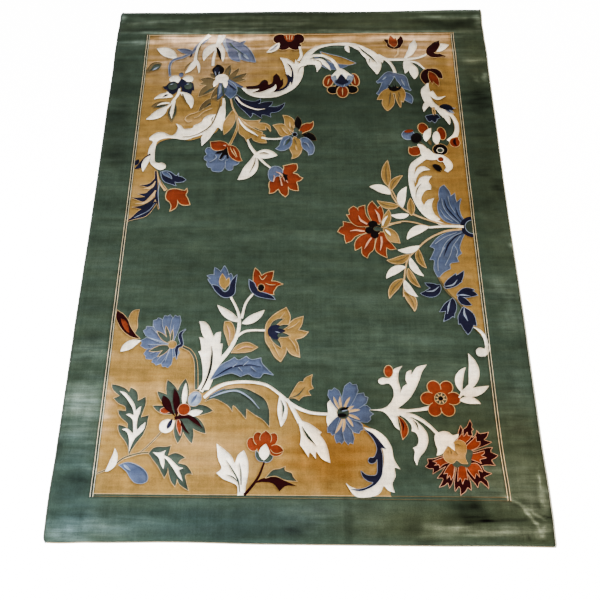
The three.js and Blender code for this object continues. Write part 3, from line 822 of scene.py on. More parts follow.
weave("pale", band([(24, 79), (53, 86), (71, 107)], 2, 6, 2),
    band([(65, 44), (87, 45), (112, 40)], 2, 6, 2), band([(3, 79), (-18, 62), (-44, 58)], 2, 6, 2),
    band([(39, 23), (31, 0), (24, -31)], 2, 6, 2), band([(85, -9), (84, -33), (93, -60)], 3, 8, 2))
start_at(630, -500)
weave("cream", band([(-14, 96), (4, 84), (19, 61), (25, 28), (21, 7)], 4, 10, 12, 12, 8),
    oval((2, 2), 34, 34), band([(27, 35), (25, 11), (6, -5)], 12, 20, 24))


# Near left: dark red leaf, gold leaf, cream leaf and the blue fan flower
start_at(-655, -435)
rimmed("gold", closed((83, 97, 1), (60, 90), (50, 61), (56, 32), (73, 1, 1), (83, 27), (80, 61)))
rimmed("maroon", closed((3, 95, 1), (28, 78), (48, 54), (58, 30), (78, 1), (97, -17, 1), (64, -9),
    (33, 14), (11, 47), (2, 71)))
weave("orange", closed((20, 62, 1), (37, 54), (50, 32), (56, 6), (42, 16), (28, 37)))
start_at(-525, -480)
weave("cream", leaf((-28, 21), (-97, -21), 32, -0.08, 0.55))
for tip, wide in (((99, -40), 34), ((64, -83), 36), ((22, -70), 36), ((-14, -41), 40), ((-33, 12), 40),
    ((-23, 70), 40), ((14, 109), 40), ((56, 125), 40), ((94, 124), 32)):
    rimmed("blue", petal((78, 6), tip, wide, 2, 0.08))
weave("pale", *(leaf((78, 6), tip, 3.5) for tip in ((83, 87), (39, 85), (5, 68), (-7, 34), (-5, 6),
    (5, -31), (34, -55), (62, -63))))
rimmed("leaf", leaf((73, 15), (55, 77), 12), leaf((70, 13), (26, 56), 18), leaf((72, 1), (4, -19), 20),
    leaf((76, 0), (36, -40), 14), leaf((78, 11), (80, 62), 9))
rimmed("gold", oval((83, 6), 28, 28))
rimmed("navy", band([(125, 64), (108, 43), (116, 8), (100, -7), (102, -48)], 2, 12, 10, 11, 2))
rimmed("leaf", band([(120, -2), (150, -20), (170, -63), (178, -160)], 8, 9, 10, 11))

# Cream acanthus and the stems that fan from it to two tulips and the gold flower
start_at(-340, -500)
weave("cream", closed((3, -142, 1), (11, -113), (12, -83), (9, -54), (1, -20), (-9, 1, 1), (1, 4),
    (-1, 26), (-8, 55, 1), (2, 53), (11, 49, 1), (-1, 72), (-6, 95), (-12, 116, 1), (8, 114), (23, 99),
    (33, 77), (43, 55, 1), (50, 71), (67, 76, 1), (67, 53), (65, 31, 1), (75, 30, 1), (73, 7),
    (72, -26, 1), (60, -68), (49, -101), (35, -142, 1)), band([(94, 218), (118, 170), (130, 128),
    (126, 70), (100, 8), (50, -62), (6, -146)], 8, 9, 12, 13, 16, 20, 22),
    band([(184, 238), (152, 192), (138, 128)], 7, 8, 9), leaf((132, 114), (49, 182), 30, 0.04),
    leaf((140, 108), (219, 162), 31, -0.06), band([(120, 56), (160, 80), (232, 82)], 9, 7, 7))
rimmed("gold", closed((79, 113, 1), (98, 114), (111, 94), (116, 69), (110, 45), (97, 25, 1), (88, 53),
    (78, 82)), closed((108, -3, 1), (127, 24), (162, 35), (197, 17, 1), (172, 2), (137, -3)), rim=2)
weave("pink", band([(87, 100), (97, 76), (99, 45)], 2, 5, 2),
    band([(128, 7), (154, 19), (182, 16)], 2, 4, 2))
start_at(-325, -255)
rimmed("blue", leaf((50, 3), (-9, 57), 34, -0.16), leaf((48, 24), (17, 91), 30),
    leaf((53, 24), (52, 98), 30), leaf((68, 24), (77, 66), 26), leaf((39, 16), (-5, 43), 24), rim=2)
rimmed("gold", leaf((58, 3), (46, 64), 25, 0.05), leaf((59, 10), (70, 47), 16), rim=2)
rimmed("navy", closed((9, 20, 1), (32, 14), (55, -9), (72, 1), (78, 30), (99, 62, 1), (95, 20), (93, -15),
    (74, -31), (50, -29), (27, -9)), rim=2)
start_at(-170, -275)
rimmed("orange", closed((5, 69), (6, 90), (11, 109, 1), (26, 94), (34, 77, 1), (54, 90), (78, 96, 1),
    (75, 71), (70, 55, 1), (90, 53), (112, 43, 1), (92, 34), (85, 22, 1), (79, 11), (80, 1, 1), (51, 3),
    (23, 11), (8, 36)), rim=2)
weave("tan", band([(25, 80), (38, 61), (54, 80)], 1.5, 3, 1.5),
    band([(50, 46), (68, 40), (86, 40)], 1.5, 3, 1.5))
rimmed("navy", closed((-10, 61, 1), (8, 48), (17, 28), (36, 11), (58, 3), (76, -7), (85, -19, 1),
    (51, -14), (22, -6), (3, 9), (-8, 32)), rim=2)
rimmed("black", oval((34, 28), 24, 30, 0))
weave("dusk", band([(-133, -204), (-130, -237), (-133, -286), (-144, -330), (-160, -368)], 2, 8, 9, 7, 5))

# The gold flower with a navy heart
start_at(-90, -485)
rimmed("gold", closed((-26, 58, 1), (-21, 94), (4, 127), (46, 156, 1), (60, 121), (55, 89, 1), (76, 109),
    (106, 120, 1), (101, 91), (89, 68, 1), (123, 60, 1), (107, 43), (78, 33, 1), (89, 7), (94, -33, 1),
    (66, -22), (48, 4, 1), (45, -21), (29, -50, 1), (9, -32), (-9, 2), (-23, 26)), rim=2.5)
weave("tan", band([(52, 72), (78, 87), (94, 103)], 1.5, 3, 1.5),
    band([(57, 39), (77, 12), (86, -15)], 1.5, 3, 1.5), band([(0, 87), (23, 111), (42, 137)], 1.5, 3, 1.5),
    band([(0, 17), (14, -9), (25, -34)], 1.5, 3, 1.5))
rimmed("leaf", leaf((-10, 73), (39, 113), 18, 0.1), leaf((8, 70), (57, 87), 18),
    leaf((8, 54), (61, 45), 18), leaf((-10, 46), (31, 0), 18, 0.04), oval((13, 60), 44, 50))
weave("navy", oval((1, 62), 38, 48), leaf((-8, 73), (27, 85), 18), leaf((4, 66), (46, 64), 18),
    leaf((-6, 50), (22, 33), 18))
weave("pale", leaf((8, 62), (27, 58), 3))

# Blue leaf, the long white arc and the dark acanthus under it
start_at(-215, -595)
rimmed("blue", closed((-85, -9, 1), (-57, 39), (-17, 65), (-7, 73, 1), (9, 63), (35, 77, 1), (53, 65),
    (85, 71, 1), (91, 49), (129, 9, 1), (97, 15), (83, -1), (59, 3, 1), (43, 13), (17, 3, 1), (1, 11),
    (-23, 15)), rim=2)
weave("navy", band([(-71, 1), (-17, 35), (43, 45), (87, 39)], 2, 6, 5, 2))
weave("pale", band([(-11, 37), (5, 53)], 2.5, 1.5), band([(25, 43), (43, 61)], 2.5, 1.5),
    band([(9, 37), (23, 21)], 2.5, 1.5), band([(51, 39), (71, 21)], 2.5, 1.5))
start_at(-245, -720)
rimmed("leaf", closed((-70, 37, 1), (-38, 70), (4, 82), (55, 86), (93, 72), (131, 47), (148, 8),
    (150, -51, 1), (128, -27), (103, -11), (72, 11, 1), (71, -24, 1), (50, 1), (27, 23), (25, 2, 1),
    (5, 25), (-37, 46)))
weave("pale", band([(-54, 50), (-7, 70), (39, 75), (82, 50), (115, 12)], 3, 6, 6, 5, 1.5))
weave("cream", band([(-74, 50), (-43, 79), (3, 102), (72, 108), (134, 98), (180, 67), (228, 26), (285, 0),
    (359, -6)], 11, 12, 10, 10, 10, 10, 11, 10, 9))
weave("blue", band([(-57, 55), (-29, 71), (-1, 84)], 2, 6, 2))

# The star flower, its green leaves, and the cream bulb with its stem
start_at(-440, -790)
rimmed("leaf", *(leaf((42, 68), tip, wide, bend, 0.55) for tip, wide, bend in (((-8, 184), 40, 0),
    ((54, 188), 40, 0), ((104, 150), 32, 0), ((-40, 142), 32, 0), ((-50, 90), 28, 0.05), ((154, 74), 38,
    0.05), ((134, -6), 38, 0.04), ((90, -40), 34, 0.04), ((44, -40), 32, 0))))
weave("cream", leaf((54, 90), (56, 174), 18), leaf((68, 60), (120, 72), 24))
rimmed("orange", oval((-7, 74), 34, 20), leaf((38, 44), (50, -12), 14), edge="pink")
weave("maroon", leaf((36, 46), (-18, 128), 28, 0.06, 0.7), leaf((32, 46), (18, 154), 24, -0.04, 0.55),
    band([(26, 46), (68, 54), (98, 36), (123, 12)], 12, 16, 15, 3), leaf((48, 42), (82, -8), 10, -0.1))
rimmed("orange", oval((56, 78), 40, 40), edge="pink")
rimmed("pale", oval((90, 116), 44, 54, -20))
weave("blue", leaf((78, 100), (98, 134), 9))
rimmed("leaf", band([(-12, 0), (-46, -40), (-80, -72), (-126, -90)], 3.5))
rimmed("cream", oval((2, 19), 50, 46, 30), leaf((0, 20), (28, 38), 26), rim=1)
weave("navy", leaf((4, 8), (20, 46), 15))

# Two green leaves with white ribs, a blue drop between them
start_at(-595, -780)
rimmed("leaf", closed((-44, 157, 1), (-20, 153), (5, 142), (18, 130, 1), (22, 146, 1), (41, 136),
    (50, 119), (52, 98, 1), (77, 113, 1), (80, 91), (75, 67), (68, 40, 1), (94, 47, 1), (92, 26), (90, 9),
    (81, -21), (62, -49), (46, -77), (40, -96, 1), (36, -68), (24, -45), (5, -22), (-5, 0), (-5, 13, 1),
    (12, 9), (26, 1, 1), (25, 17), (5, 34), (-8, 50), (-12, 65, 1), (2, 63), (15, 62, 1), (9, 78),
    (-13, 88), (-32, 107, 1), (-21, 111), (-13, 116, 1), (-31, 130), (-41, 143)))
weave("cream", closed((-14, 132, 1), (6, 127), (26, 107), (43, 82), (48, 63), (56, 72), (65, 79, 1),
    (63, 57), (57, 34), (59, -4), (71, 10), (85, 22, 1), (83, 0), (70, -18), (55, -34), (46, -56),
    (40, -79, 1), (38, -56), (36, -37), (29, -17), (21, -9), (9, -4, 1), (24, 0), (37, -8), (47, -16),
    (45, 9), (41, 30), (29, 42), (16, 49, 1), (29, 52), (42, 47), (40, 63), (27, 87), (7, 112)))
start_at(-480, -940)
rimmed("leaf", band([(-172, 8), (-130, 28), (-90, 60), (-40, 76), (2, 78)], 3, 4, 5, 5, 4))
rimmed("leaf", closed((-10, 76, 1), (3, 93), (21, 99), (42, 98), (62, 103, 1), (59, 86), (55, 70, 1),
    (77, 78), (97, 73), (112, 62, 1), (96, 54), (91, 44, 1), (116, 38), (130, 23), (138, 9, 1), (123, 9),
    (115, 3, 1), (121, -18), (130, -45, 1), (110, -33), (97, -22), (90, -7, 1), (89, -21), (85, -32, 1),
    (71, -15), (62, 9), (57, 32, 1), (57, 14), (48, -5, 1), (39, 10), (23, 35), (6, 55)))
weave("cream", closed((4, 80, 1), (27, 79), (46, 87, 1), (42, 71), (58, 63), (80, 43), (93, 32),
    (109, 28, 1), (95, 22), (101, 6), (108, -14, 1), (93, 1), (76, 25), (57, 50), (43, 61), (45, 46),
    (43, 25, 1), (33, 41), (25, 61)), leaf((-146, 14), (-123, 92), 24, -0.15))
rimmed("blue", closed((-102, 36, 1), (-77, 45), (-48, 38), (-21, 22), (-7, 2), (-8, -15), (-25, -23),
    (-46, -19), (-62, -4), (-77, 17)), rim=2)
weave("pale", leaf((-90, 39), (-63, 18), 9))

# Near middle: cream plant, orange flower on a dark stem, gold and cream leaves of the arc
start_at(-250, -965)
weave("cream", closed((58, -34, 1), (56, -5), (37, 8), (9, 19), (-13, 38, 1), (2, 55), (-11, 89),
    (-17, 135, 1), (9, 116), (33, 95), (45, 72), (54, 97), (73, 114, 1), (86, 85), (90, 41), (84, 0),
    (80, -33, 1)))
weave("leaf", band([(65, -24), (57, 16), (29, 63), (16, 81)], 3, 6, 5, 1.5),
    band([(59, 8), (39, 26), (21, 32)], 2, 5, 1.5), band([(68, 0), (66, 41), (60, 72)], 4, 5, 1.5))
start_at(-115, -970)
weave("maroon", band([(7, 82), (-10, 35), (-32, 1), (-56, -28)], 6, 8, 9, 10), closed((-27, 9, 1),
    (-3, 25), (34, 32), (68, 17), (113, 3, 1), (78, 3), (57, -15, 1), (37, 9), (2, 15)))
rimmed("leaf", closed((11, 28, 1), (33, 53), (54, 58), (74, 66, 1), (74, 53), (95, 45), (101, 32),
    (113, 18, 1), (74, 22), (42, 35)))
weave("maroon", closed((2, 22, 1), (42, 32), (76, 19), (114, 2, 1), (78, 3), (57, -15, 1), (37, 9)))
rimmed("leaf", leaf((3, 82), (-21, 117), 16, 0.1), leaf((5, 82), (32, 111), 20, -0.1),
    oval((6, 96), 28, 28), edge="pale")
for shape in (oval((-34, 139), 34, 46, 20), oval((-15, 158), 32, 44, 10), oval((31, 155), 32, 46, -20),
    oval((45, 118), 44, 36, 10), leaf((9, 121), (9, 185), 38, 0, 0.6), leaf((24, 128), (68, 118), 28)):
    rimmed("orange", shape)
weave("orange", oval((4, 134), 50, 44))
weave("cream", leaf((5, 86), (10, 141), 34, 0.04, 0.45))
start_at(-30, -670)
rimmed("gold", closed((1, 1, 1), (16, 30), (33, 57), (48, 59), (54, 72), (78, 85, 1), (74, 56),
    (81, 36, 1), (65, 27), (72, 11, 1), (47, 7), (33, -7, 1), (20, 1)))
weave("leaf", band([(3, 1), (30, 12), (54, 41)], 3, 5, 1.5))
start_at(5, -855)
weave("cream", leaf((-66, 199), (-61, 84), 34, 0.06, 0.5),
    band([(-42, 183), (-22, 146), (2, 100)], 9, 13, 16), closed((-5, 109, 1), (35, 95), (75, 65, 1),
    (68, 58), (84, 34), (94, 7), (101, -36, 1), (74, -23), (56, 0), (54, -23, 1), (35, -2), (30, -18, 1),
    (17, 3), (2, 23, 1), (5, 57)))
weave("leaf", band([(-63, 179), (-54, 152), (-57, 117)], 3, 8, 1.5),
    band([(9, 85), (28, 52), (56, 20)], 3, 9, 1.5))

# Blue flower at the end of the arc
start_at(95, -795)
weave("cream", closed((46, 85, 1), (20, 125, 1), (4, 107), (6, 79), (0, 50), (11, 5, 1), (32, 32),
    (50, 50)))
for tip, wide, teeth in (((9, -2), 36, 2), ((40, -36), 34, 2), ((79, -39), 32, 2), ((117, 7), 38, 2),
    ((156, 71), 58, 3), ((138, 140), 42, 2), ((94, 185), 46, 2), ((17, 163), 40, 2)):
    rimmed("blue", petal((56, 71), tip, wide, teeth, 0.1))
for tip in ((25, 132), (47, 133), (81, 131), (93, 99), (113, 85), (112, 50), (88, 26), (53, 7), (28, 2)):
    rimmed("tan", leaf((57, 71), tip, 9, 0.06, 0.6), edge="pale", rim=1)
rimmed("leaf", oval((56, 74), 38, 40), edge="olive")
weave("black", oval((52, 66), 32, 14), leaf((44, 83), (78, 94), 10))
weave("pale", leaf((51, 80), (74, 85), 4))

# The cream and navy crescent scroll below it
start_at(220, -980)
weave("cream", closed((-2, 209, 1), (35, 201), (67, 177), (87, 142), (92, 105), (111, 70, 1), (94, 74),
    (95, 48), (84, 23), (89, -6, 1), (68, 2), (55, 15), (41, -9), (4, -21), (-37, -17), (-66, 24, 1),
    (-43, 9), (-9, 4), (24, 21), (47, 51), (60, 92), (57, 135), (40, 169), (20, 189)))
rimmed("navy", closed((0, 202, 1), (25, 189), (45, 167), (68, 136, 1), (52, 139), (56, 114), (53, 61),
    (41, 34), (18, 13), (-18, -1), (-50, 5, 1), (-24, 4), (2, 11), (22, 26), (6, 31), (-10, 45),
    (-16, 64, 1), (0, 51), (19, 48), (34, 52), (38, 74), (38, 102), (31, 92), (17, 88), (9, 96), (14, 107),
    (27, 108), (35, 120), (39, 140), (29, 167), (13, 189)))

# Branch to the near right: acanthus arms up and down, bud, rosette and carnation
start_at(340, -785)
weave("cream", closed((-102, 75, 1), (-55, 80), (-31, 98), (-17, 125), (-19, 154), (-32, 170), (-51, 167),
    (-63, 170), (-67, 181), (-52, 191), (-28, 189), (-17, 206), (-10, 223), (18, 234, 1), (5, 214),
    (1, 183), (6, 156), (6, 136, 1), (18, 160), (32, 167, 1), (27, 185), (32, 211), (48, 219, 1),
    (48, 204), (68, 230), (102, 240, 1), (83, 211), (73, 184), (57, 150), (39, 121), (18, 100),
    (-6, 81, 1), (28, 78), (69, 83), (104, 91), (100, 78), (68, 72), (31, 68), (18, 66, 1), (48, 60),
    (79, 42), (105, 18), (125, -5), (117, -9), (93, 16), (62, 40), (33, 52, 1), (50, 39), (72, 18),
    (86, -6), (87, -35), (74, -64), (55, -87), (46, -112, 1), (38, -91), (42, -66), (36, -54, 1),
    (51, -46), (57, -27), (51, -5), (36, 3, 1), (36, 23), (20, 44), (0, 58, 1), (-8, 45), (-3, 5, 1),
    (-18, 17), (-32, 44), (-56, 70)))
weave("leaf", band([(43, 41), (54, 26), (58, 8)], 2, 6, 2))
rimmed("orange", oval((-30, 214), 29, 42, 0), rim=2)
rimmed("orange", closed((-9, 55, 1), (11, 40), (23, 17), (21, -7), (5, -25, 1), (1, -4), (2, 17),
    (-2, 38)))
weave("maroon", band([(0, 43), (9, 24), (8, 3)], 1.5, 5, 1.5))
start_at(480, -668)
for a in np.radians((60, 118, 180, 240, 300, 0)):
    rimmed("orange", oval((42 * np.cos(a), 44 * np.sin(a)), 43, 48, np.degrees(a) - 90), rim=2)
weave("orange", oval((0, 0), 64, 64))
rimmed("leaf", oval((0, 0), 40, 40))
weave("tan", *(leaf((0, 0), (21 * np.cos(a), 21 * np.sin(a)), 5) for a in np.radians(np.arange(30, 390,
    45))))
weave("black", oval((0, 0), 17, 17))
weave("cream", band([(62, 3), (79, 23), (109, 44)], 5, 16, 24), leaf((99, 34), (107, 165), 36, -0.14),
    leaf((75, 20), (94, 113), 27, 0.18, 0.5), leaf((73, 15), (166, 46), 30, -0.06),
    leaf((63, -7), (132, -18), 26, 0.1))
start_at(500, -895)
rimmed("maroon", closed((46, 105, 1), (46, 119), (58, 128), (70, 151, 1), (75, 138), (73, 126),
    (78, 120, 1), (72, 115), (72, 95), (59, 75), (35, 47), (35, 81)), closed((22, 81, 1), (29, 109),
    (38, 132, 1), (42, 118), (38, 100), (35, 72)), closed((30, 47, 1), (60, 84), (83, 99), (89, 116, 1),
    (98, 105), (126, 110, 1), (119, 94), (110, 85), (133, 77, 1), (115, 68), (82, 55), (51, 42)),
    closed((40, 39, 1), (78, 46), (114, 57), (134, 59, 1), (127, 45), (148, 33, 1), (140, 25), (127, 17),
    (136, 0, 1), (111, 2), (84, 1), (49, 25)), closed((34, 31, 1), (74, 9), (94, -3), (101, -18),
    (122, -27, 1), (96, -40), (106, -53), (108, -74, 1), (84, -52), (74, -71, 1), (65, -56), (51, -37),
    (36, -2)), closed((25, 25, 1), (10, -19), (2, -57), (2, -84, 1), (14, -69), (19, -78), (18, -96, 1),
    (34, -84), (42, -72), (52, -80, 1), (52, -56), (45, -29), (38, 20)), closed((16, 19, 1), (-17, 0),
    (-36, -25), (-52, -43, 1), (-34, -43), (-38, -57), (-48, -72, 1), (-31, -66), (-20, -57),
    (-16, -74, 1), (-4, -54), (3, -24)), closed((12, 25, 1), (-29, 29), (-56, 21), (-79, 19, 1), (-77, 5),
    (-87, -5, 1), (-75, -12), (-62, -12), (-65, -29, 1), (-48, -18), (-26, -6), (5, 8)), edge="pink",
    rim=1.2)
for shape in (closed((13, 72, 1), (28, 91), (41, 105, 1), (45, 95), (58, 110, 1), (59, 98), (70, 97, 1),
    (62, 86), (45, 71), (30, 53)), closed((41, 53, 1), (59, 72), (73, 84), (84, 96, 1), (85, 79),
    (96, 79, 1), (93, 67), (79, 56), (51, 47)), closed((50, 36, 1), (77, 39), (106, 47, 1), (105, 39),
    (94, 32), (111, 25, 1), (89, 18), (94, 6, 1), (75, 15), (49, 25)), closed((42, 3, 1), (66, 6), (79, 5),
    (89, -7), (94, -21, 1), (81, -16), (83, -39, 1), (74, -26), (67, -42, 1), (57, -29), (48, -13)),
    closed((26, 9, 1), (18, -13), (12, -53, 1), (22, -41), (27, -61, 1), (35, -44), (44, -46, 1),
    (43, -27), (39, 3)), closed((5, 14, 1), (-15, -5), (-30, -29, 1), (-18, -27), (-22, -45, 1),
    (-12, -34), (-9, -48, 1), (0, -32), (5, -3)), closed((-7, 28, 1), (-34, 22), (-61, 12, 1), (-49, 7),
    (-58, -2, 1), (-44, 2), (-42, -9, 1), (-28, 3), (0, 14))):
    rimmed("orange", shape, edge="pink", rim=1.3)
weave("leaf", closed((50, 52), (69, 47), (68, 34), (63, 20), (60, 3), (46, -8), (28, -2), (17, -8),
    (4, -4), (1, 8), (23, 31)))
rimmed("gold", closed((8, 75, 1), (25, 83), (41, 79), (49, 67), (49, 47), (42, 27), (49, 5, 1), (31, 6),
    (15, 17), (3, 7), (-11, 8), (-24, 19), (-26, 36), (-16, 55, 1)), rim=1.2)
weave("olive", band([(13, 66), (24, 69), (35, 62)], 1, 2.5, 1),
    band([(11, 47), (16, 39), (21, 34)], 2, 5, 2), band([(-3, 52), (0, 44), (1, 35)], 2, 5, 1.5),
    band([(-10, 47), (-9, 39)], 2, 3, 1))
weave("cream", closed((-45, 104), (-22, 113), (-3, 110), (9, 100), (29, 105, 1), (26, 93), (17, 84),
    (9, 75, 1), (12, 67), (11, 47, 1), (1, 56), (-10, 63), (-20, 50), (-31, 36), (-49, 31, 1), (-44, 49),
    (-49, 69), (-51, 89)))

# Guard lines, three down each side of the field
start_at(0, 0)
for side in (-1, 1):
    for yarn, away, wide in (("straw", 656, 1.7), ("dusk", 660.3, 3.0), ("straw", 664.8, 1.7)):
        weave(yarn, band([(side * away, 1003), (side * away, -600), (side * away + 4 * (side + 1), -1008)],
            wide))

# Cutting the pile by yarn
# Every outline of the chart becomes a line of the mesh, so that each yarn ends exactly where the design says.
# Between the lines the surface is a loose net of points, close enough for its ridges and its nap, and closer
# in the crumpled corner at the near right.
PILE_STEP = 9.8
CORNER_STEP = 4.6
CORNER_X, CORNER_Y = 540, -930
# No point of the net lies in a cell beside one that an outline passes, or so near the body's edge
CELL = 3.2
EDGE_CLEAR = 4
# First row and column of the net, in from the body's edge
NET_START = 5
# Lowest point of the pile over the cloth's back, its tips below the full thickness, and its lean at the rim
ROOT = 2.2
THICK = 8.5
TIPS_DOWN = 0.45
RIM_DROP, RIM_REACH = 2.6, 1.6
# Bare ground past the pile at the two cut ends
END_BARE = 3.5
# The sides' waves and drawn-in corners move the pile from this far out
FIELD_HALF = 560
half_width, half_length = WIDTH / 2 - BINDING - GAP, LENGTH / 2 - END_BARE
across = np.linspace(-half_width, half_width, int(2 * half_width / OUTLINE_STEP))
along = np.linspace(-half_length, half_length, int(2 * half_length / OUTLINE_STEP))
frame_line = np.concatenate([
    np.stack([across[:-1], np.full(len(across) - 1, -half_length)], 1),
    np.stack([np.full(len(along) - 1, half_width), along[:-1]], 1),
    np.stack([across[:0:-1], np.full(len(across) - 1, half_length)], 1),
    np.stack([np.full(len(along) - 1, -half_width), along[:0:-1]], 1)])
far_corner = np.array([half_width, half_length])
outlines = [frame_line] + [np.clip(shape, -far_corner, far_corner) for yarn, shape in chart]
sizes = np.array([len(shape) for shape in outlines])
starts = np.cumsum(sizes) - sizes
points = np.concatenate(outlines)
ends = np.arange(len(points)) + 1
ends[starts + sizes - 1] = starts
edges = np.stack([np.arange(len(points)), ends], 1)


def cell_of(spots):
    """Column and row of the cell that each point lies in."""
    return ((spots + (WIDTH / 2, LENGTH / 2)) / CELL).astype(int).T


taken = np.zeros((int(WIDTH / CELL) + 3, int(LENGTH / CELL) + 3), bool)
for spots in (points, (points + points[ends]) / 2):
    taken[tuple(cell_of(spots))] = True
for rows in (taken, taken.T):
    rows[1:] |= rows[:-1].copy()
    rows[:-1] |= rows[1:].copy()
random = np.random.default_rng(11)


def scattered(x_span, y_span, step, stray, stagger=0):
    """Points one step apart, every second row staggered, each point moved at random by up to stray."""
    net = np.stack(np.meshgrid(np.arange(*x_span, step), np.arange(*y_span, step)), -1)
    net[1::2, :, 0] += stagger
    return net.reshape(-1, 2) + random.uniform(-stray, stray, (net.size // 2, 2))


low_x, high_x = NET_START - half_width, half_width - EDGE_CLEAR
low_y, high_y = NET_START - half_length, half_length - EDGE_CLEAR
net = scattered((low_x, high_x), (low_y, high_y), PILE_STEP, 0.8, PILE_STEP / 2)
crumple = scattered((CORNER_X, high_x), (low_y, CORNER_Y), CORNER_STEP, 0.5)
net = np.concatenate([net[(net[:, 0] < CORNER_X - 4) | (net[:, 1] > CORNER_Y + 3)], crumple])
net = net[np.abs(net[:, 0]) < half_width - EDGE_CLEAR]
net = net[~taken[tuple(cell_of(net))]]
flat = np.concatenate([points, net])
made = delaunay_2d_cdt([Vector(p) for p in flat.tolist()], edges.tolist(), [], 0, 0.02, False)
spots = np.array([tuple(p) for p in made[0]])
triangles = np.array(made[2])


def inside(shape, at):
    """Which points an outline goes round: the count of its sides that pass a point's right going up, less
    those going down, isn't 0."""
    a, b = shape.T, np.roll(shape, -1, axis=0).T
    x, y = at.T[:, :, None]
    turn = (b[0] - a[0]) * (y - a[1]) - (x - a[0]) * (b[1] - a[1])
    up = (a[1] <= y) & (b[1] > y) & (turn > 0)
    down = (a[1] > y) & (b[1] <= y) & (turn < 0)
    return (up.sum(1) - down.sum(1)) != 0


# The last outline round a triangle's middle gives its yarn. Long lists are tried in parts, to save memory.
PAIRS_AT_ONCE = 3_000_000
centres = spots[triangles].mean(1)
by_x = np.argsort(centres[:, 0])
sorted_x = centres[by_x, 0]
yarn_names = ["green"] + sorted({yarn for yarn, shape in chart} - {"green"})
yarn_at = np.zeros(len(triangles), int)
for yarn, shape in chart:
    (low_x, low_y), (high_x, high_y) = shape.min(0), shape.max(0)
    near = by_x[np.searchsorted(sorted_x, low_x):np.searchsorted(sorted_x, high_x)]
    near = near[(centres[near, 1] > low_y) & (centres[near, 1] < high_y)]
    for part in np.array_split(near, len(near) * len(shape) // PAIRS_AT_ONCE + 1):
        yarn_at[part[inside(shape, centres[part])]] = yarn_names.index(yarn)


def pile_height(x, y):
    """Height of the pile's tips: on the ridges, less the pressed lines, with a nap that lies in long soft
    waves across the rug and leans over at the rim."""
    nap = 0.16 * np.sin(y / 5.3 + 1.6 * np.sin(x / 61) + x / 83)
    nap = nap + 0.12 * np.sin(y / 13.7 + 2.1 * np.sin(x / 97 + 1))
    nap = nap + 0.10 * np.sin(x / 7.9 + 2 * np.sin(y / 37))
    rim = np.minimum(half_width - np.abs(x), half_length - np.abs(y))
    leaning = RIM_DROP * np.exp(-np.maximum(rim, 0) / RIM_REACH)
    return lift(x, y) + THICK - TIPS_DOWN - crease(x, y) + nap - leaning


left, right = body_edges(spots[:, 1])
widen = ease((np.abs(spots[:, 0]) - FIELD_HALF) / (half_width - FIELD_HALF))
x = spots[:, 0] + np.where(spots[:, 0] < 0, left + half_width, right - half_width) * widen
y = spots[:, 1] + end_shift(x, spots[:, 1])
tips = np.stack([x, y, pile_height(x, spots[:, 1])], 1)
roots = np.stack([x, y, lift(x, spots[:, 1]) + ROOT - PRESSED_THROUGH * crease(x, spots[:, 1])], 1)


def pile_piece(yarn):
    """All the pile of one yarn as a closed solid: its triangles at the tips, the same ones turned over at the
    roots, and a wall down from each side that only one of its triangles has."""
    used = triangles[yarn_at == yarn_names.index(yarn)]
    numbers, corner = np.unique(used, return_inverse=True)
    corner = corner.reshape(-1, 3)
    n = len(numbers)
    sides = np.concatenate([corner[:, (0, 1)], corner[:, (1, 2)], corner[:, (2, 0)]]).astype(np.int64)
    bare = sides[~np.isin(sides[:, 0] * n + sides[:, 1], sides[:, 1] * n + sides[:, 0])]
    walls = np.stack([bare[:, 0], bare[:, 0] + n, bare[:, 1] + n, bare[:, 1]], -1)
    return build_piece("pile_" + yarn, np.vstack([tips[numbers], roots[numbers]]),
                       [corner, corner[:, ::-1] + n, walls], flat_from=1)
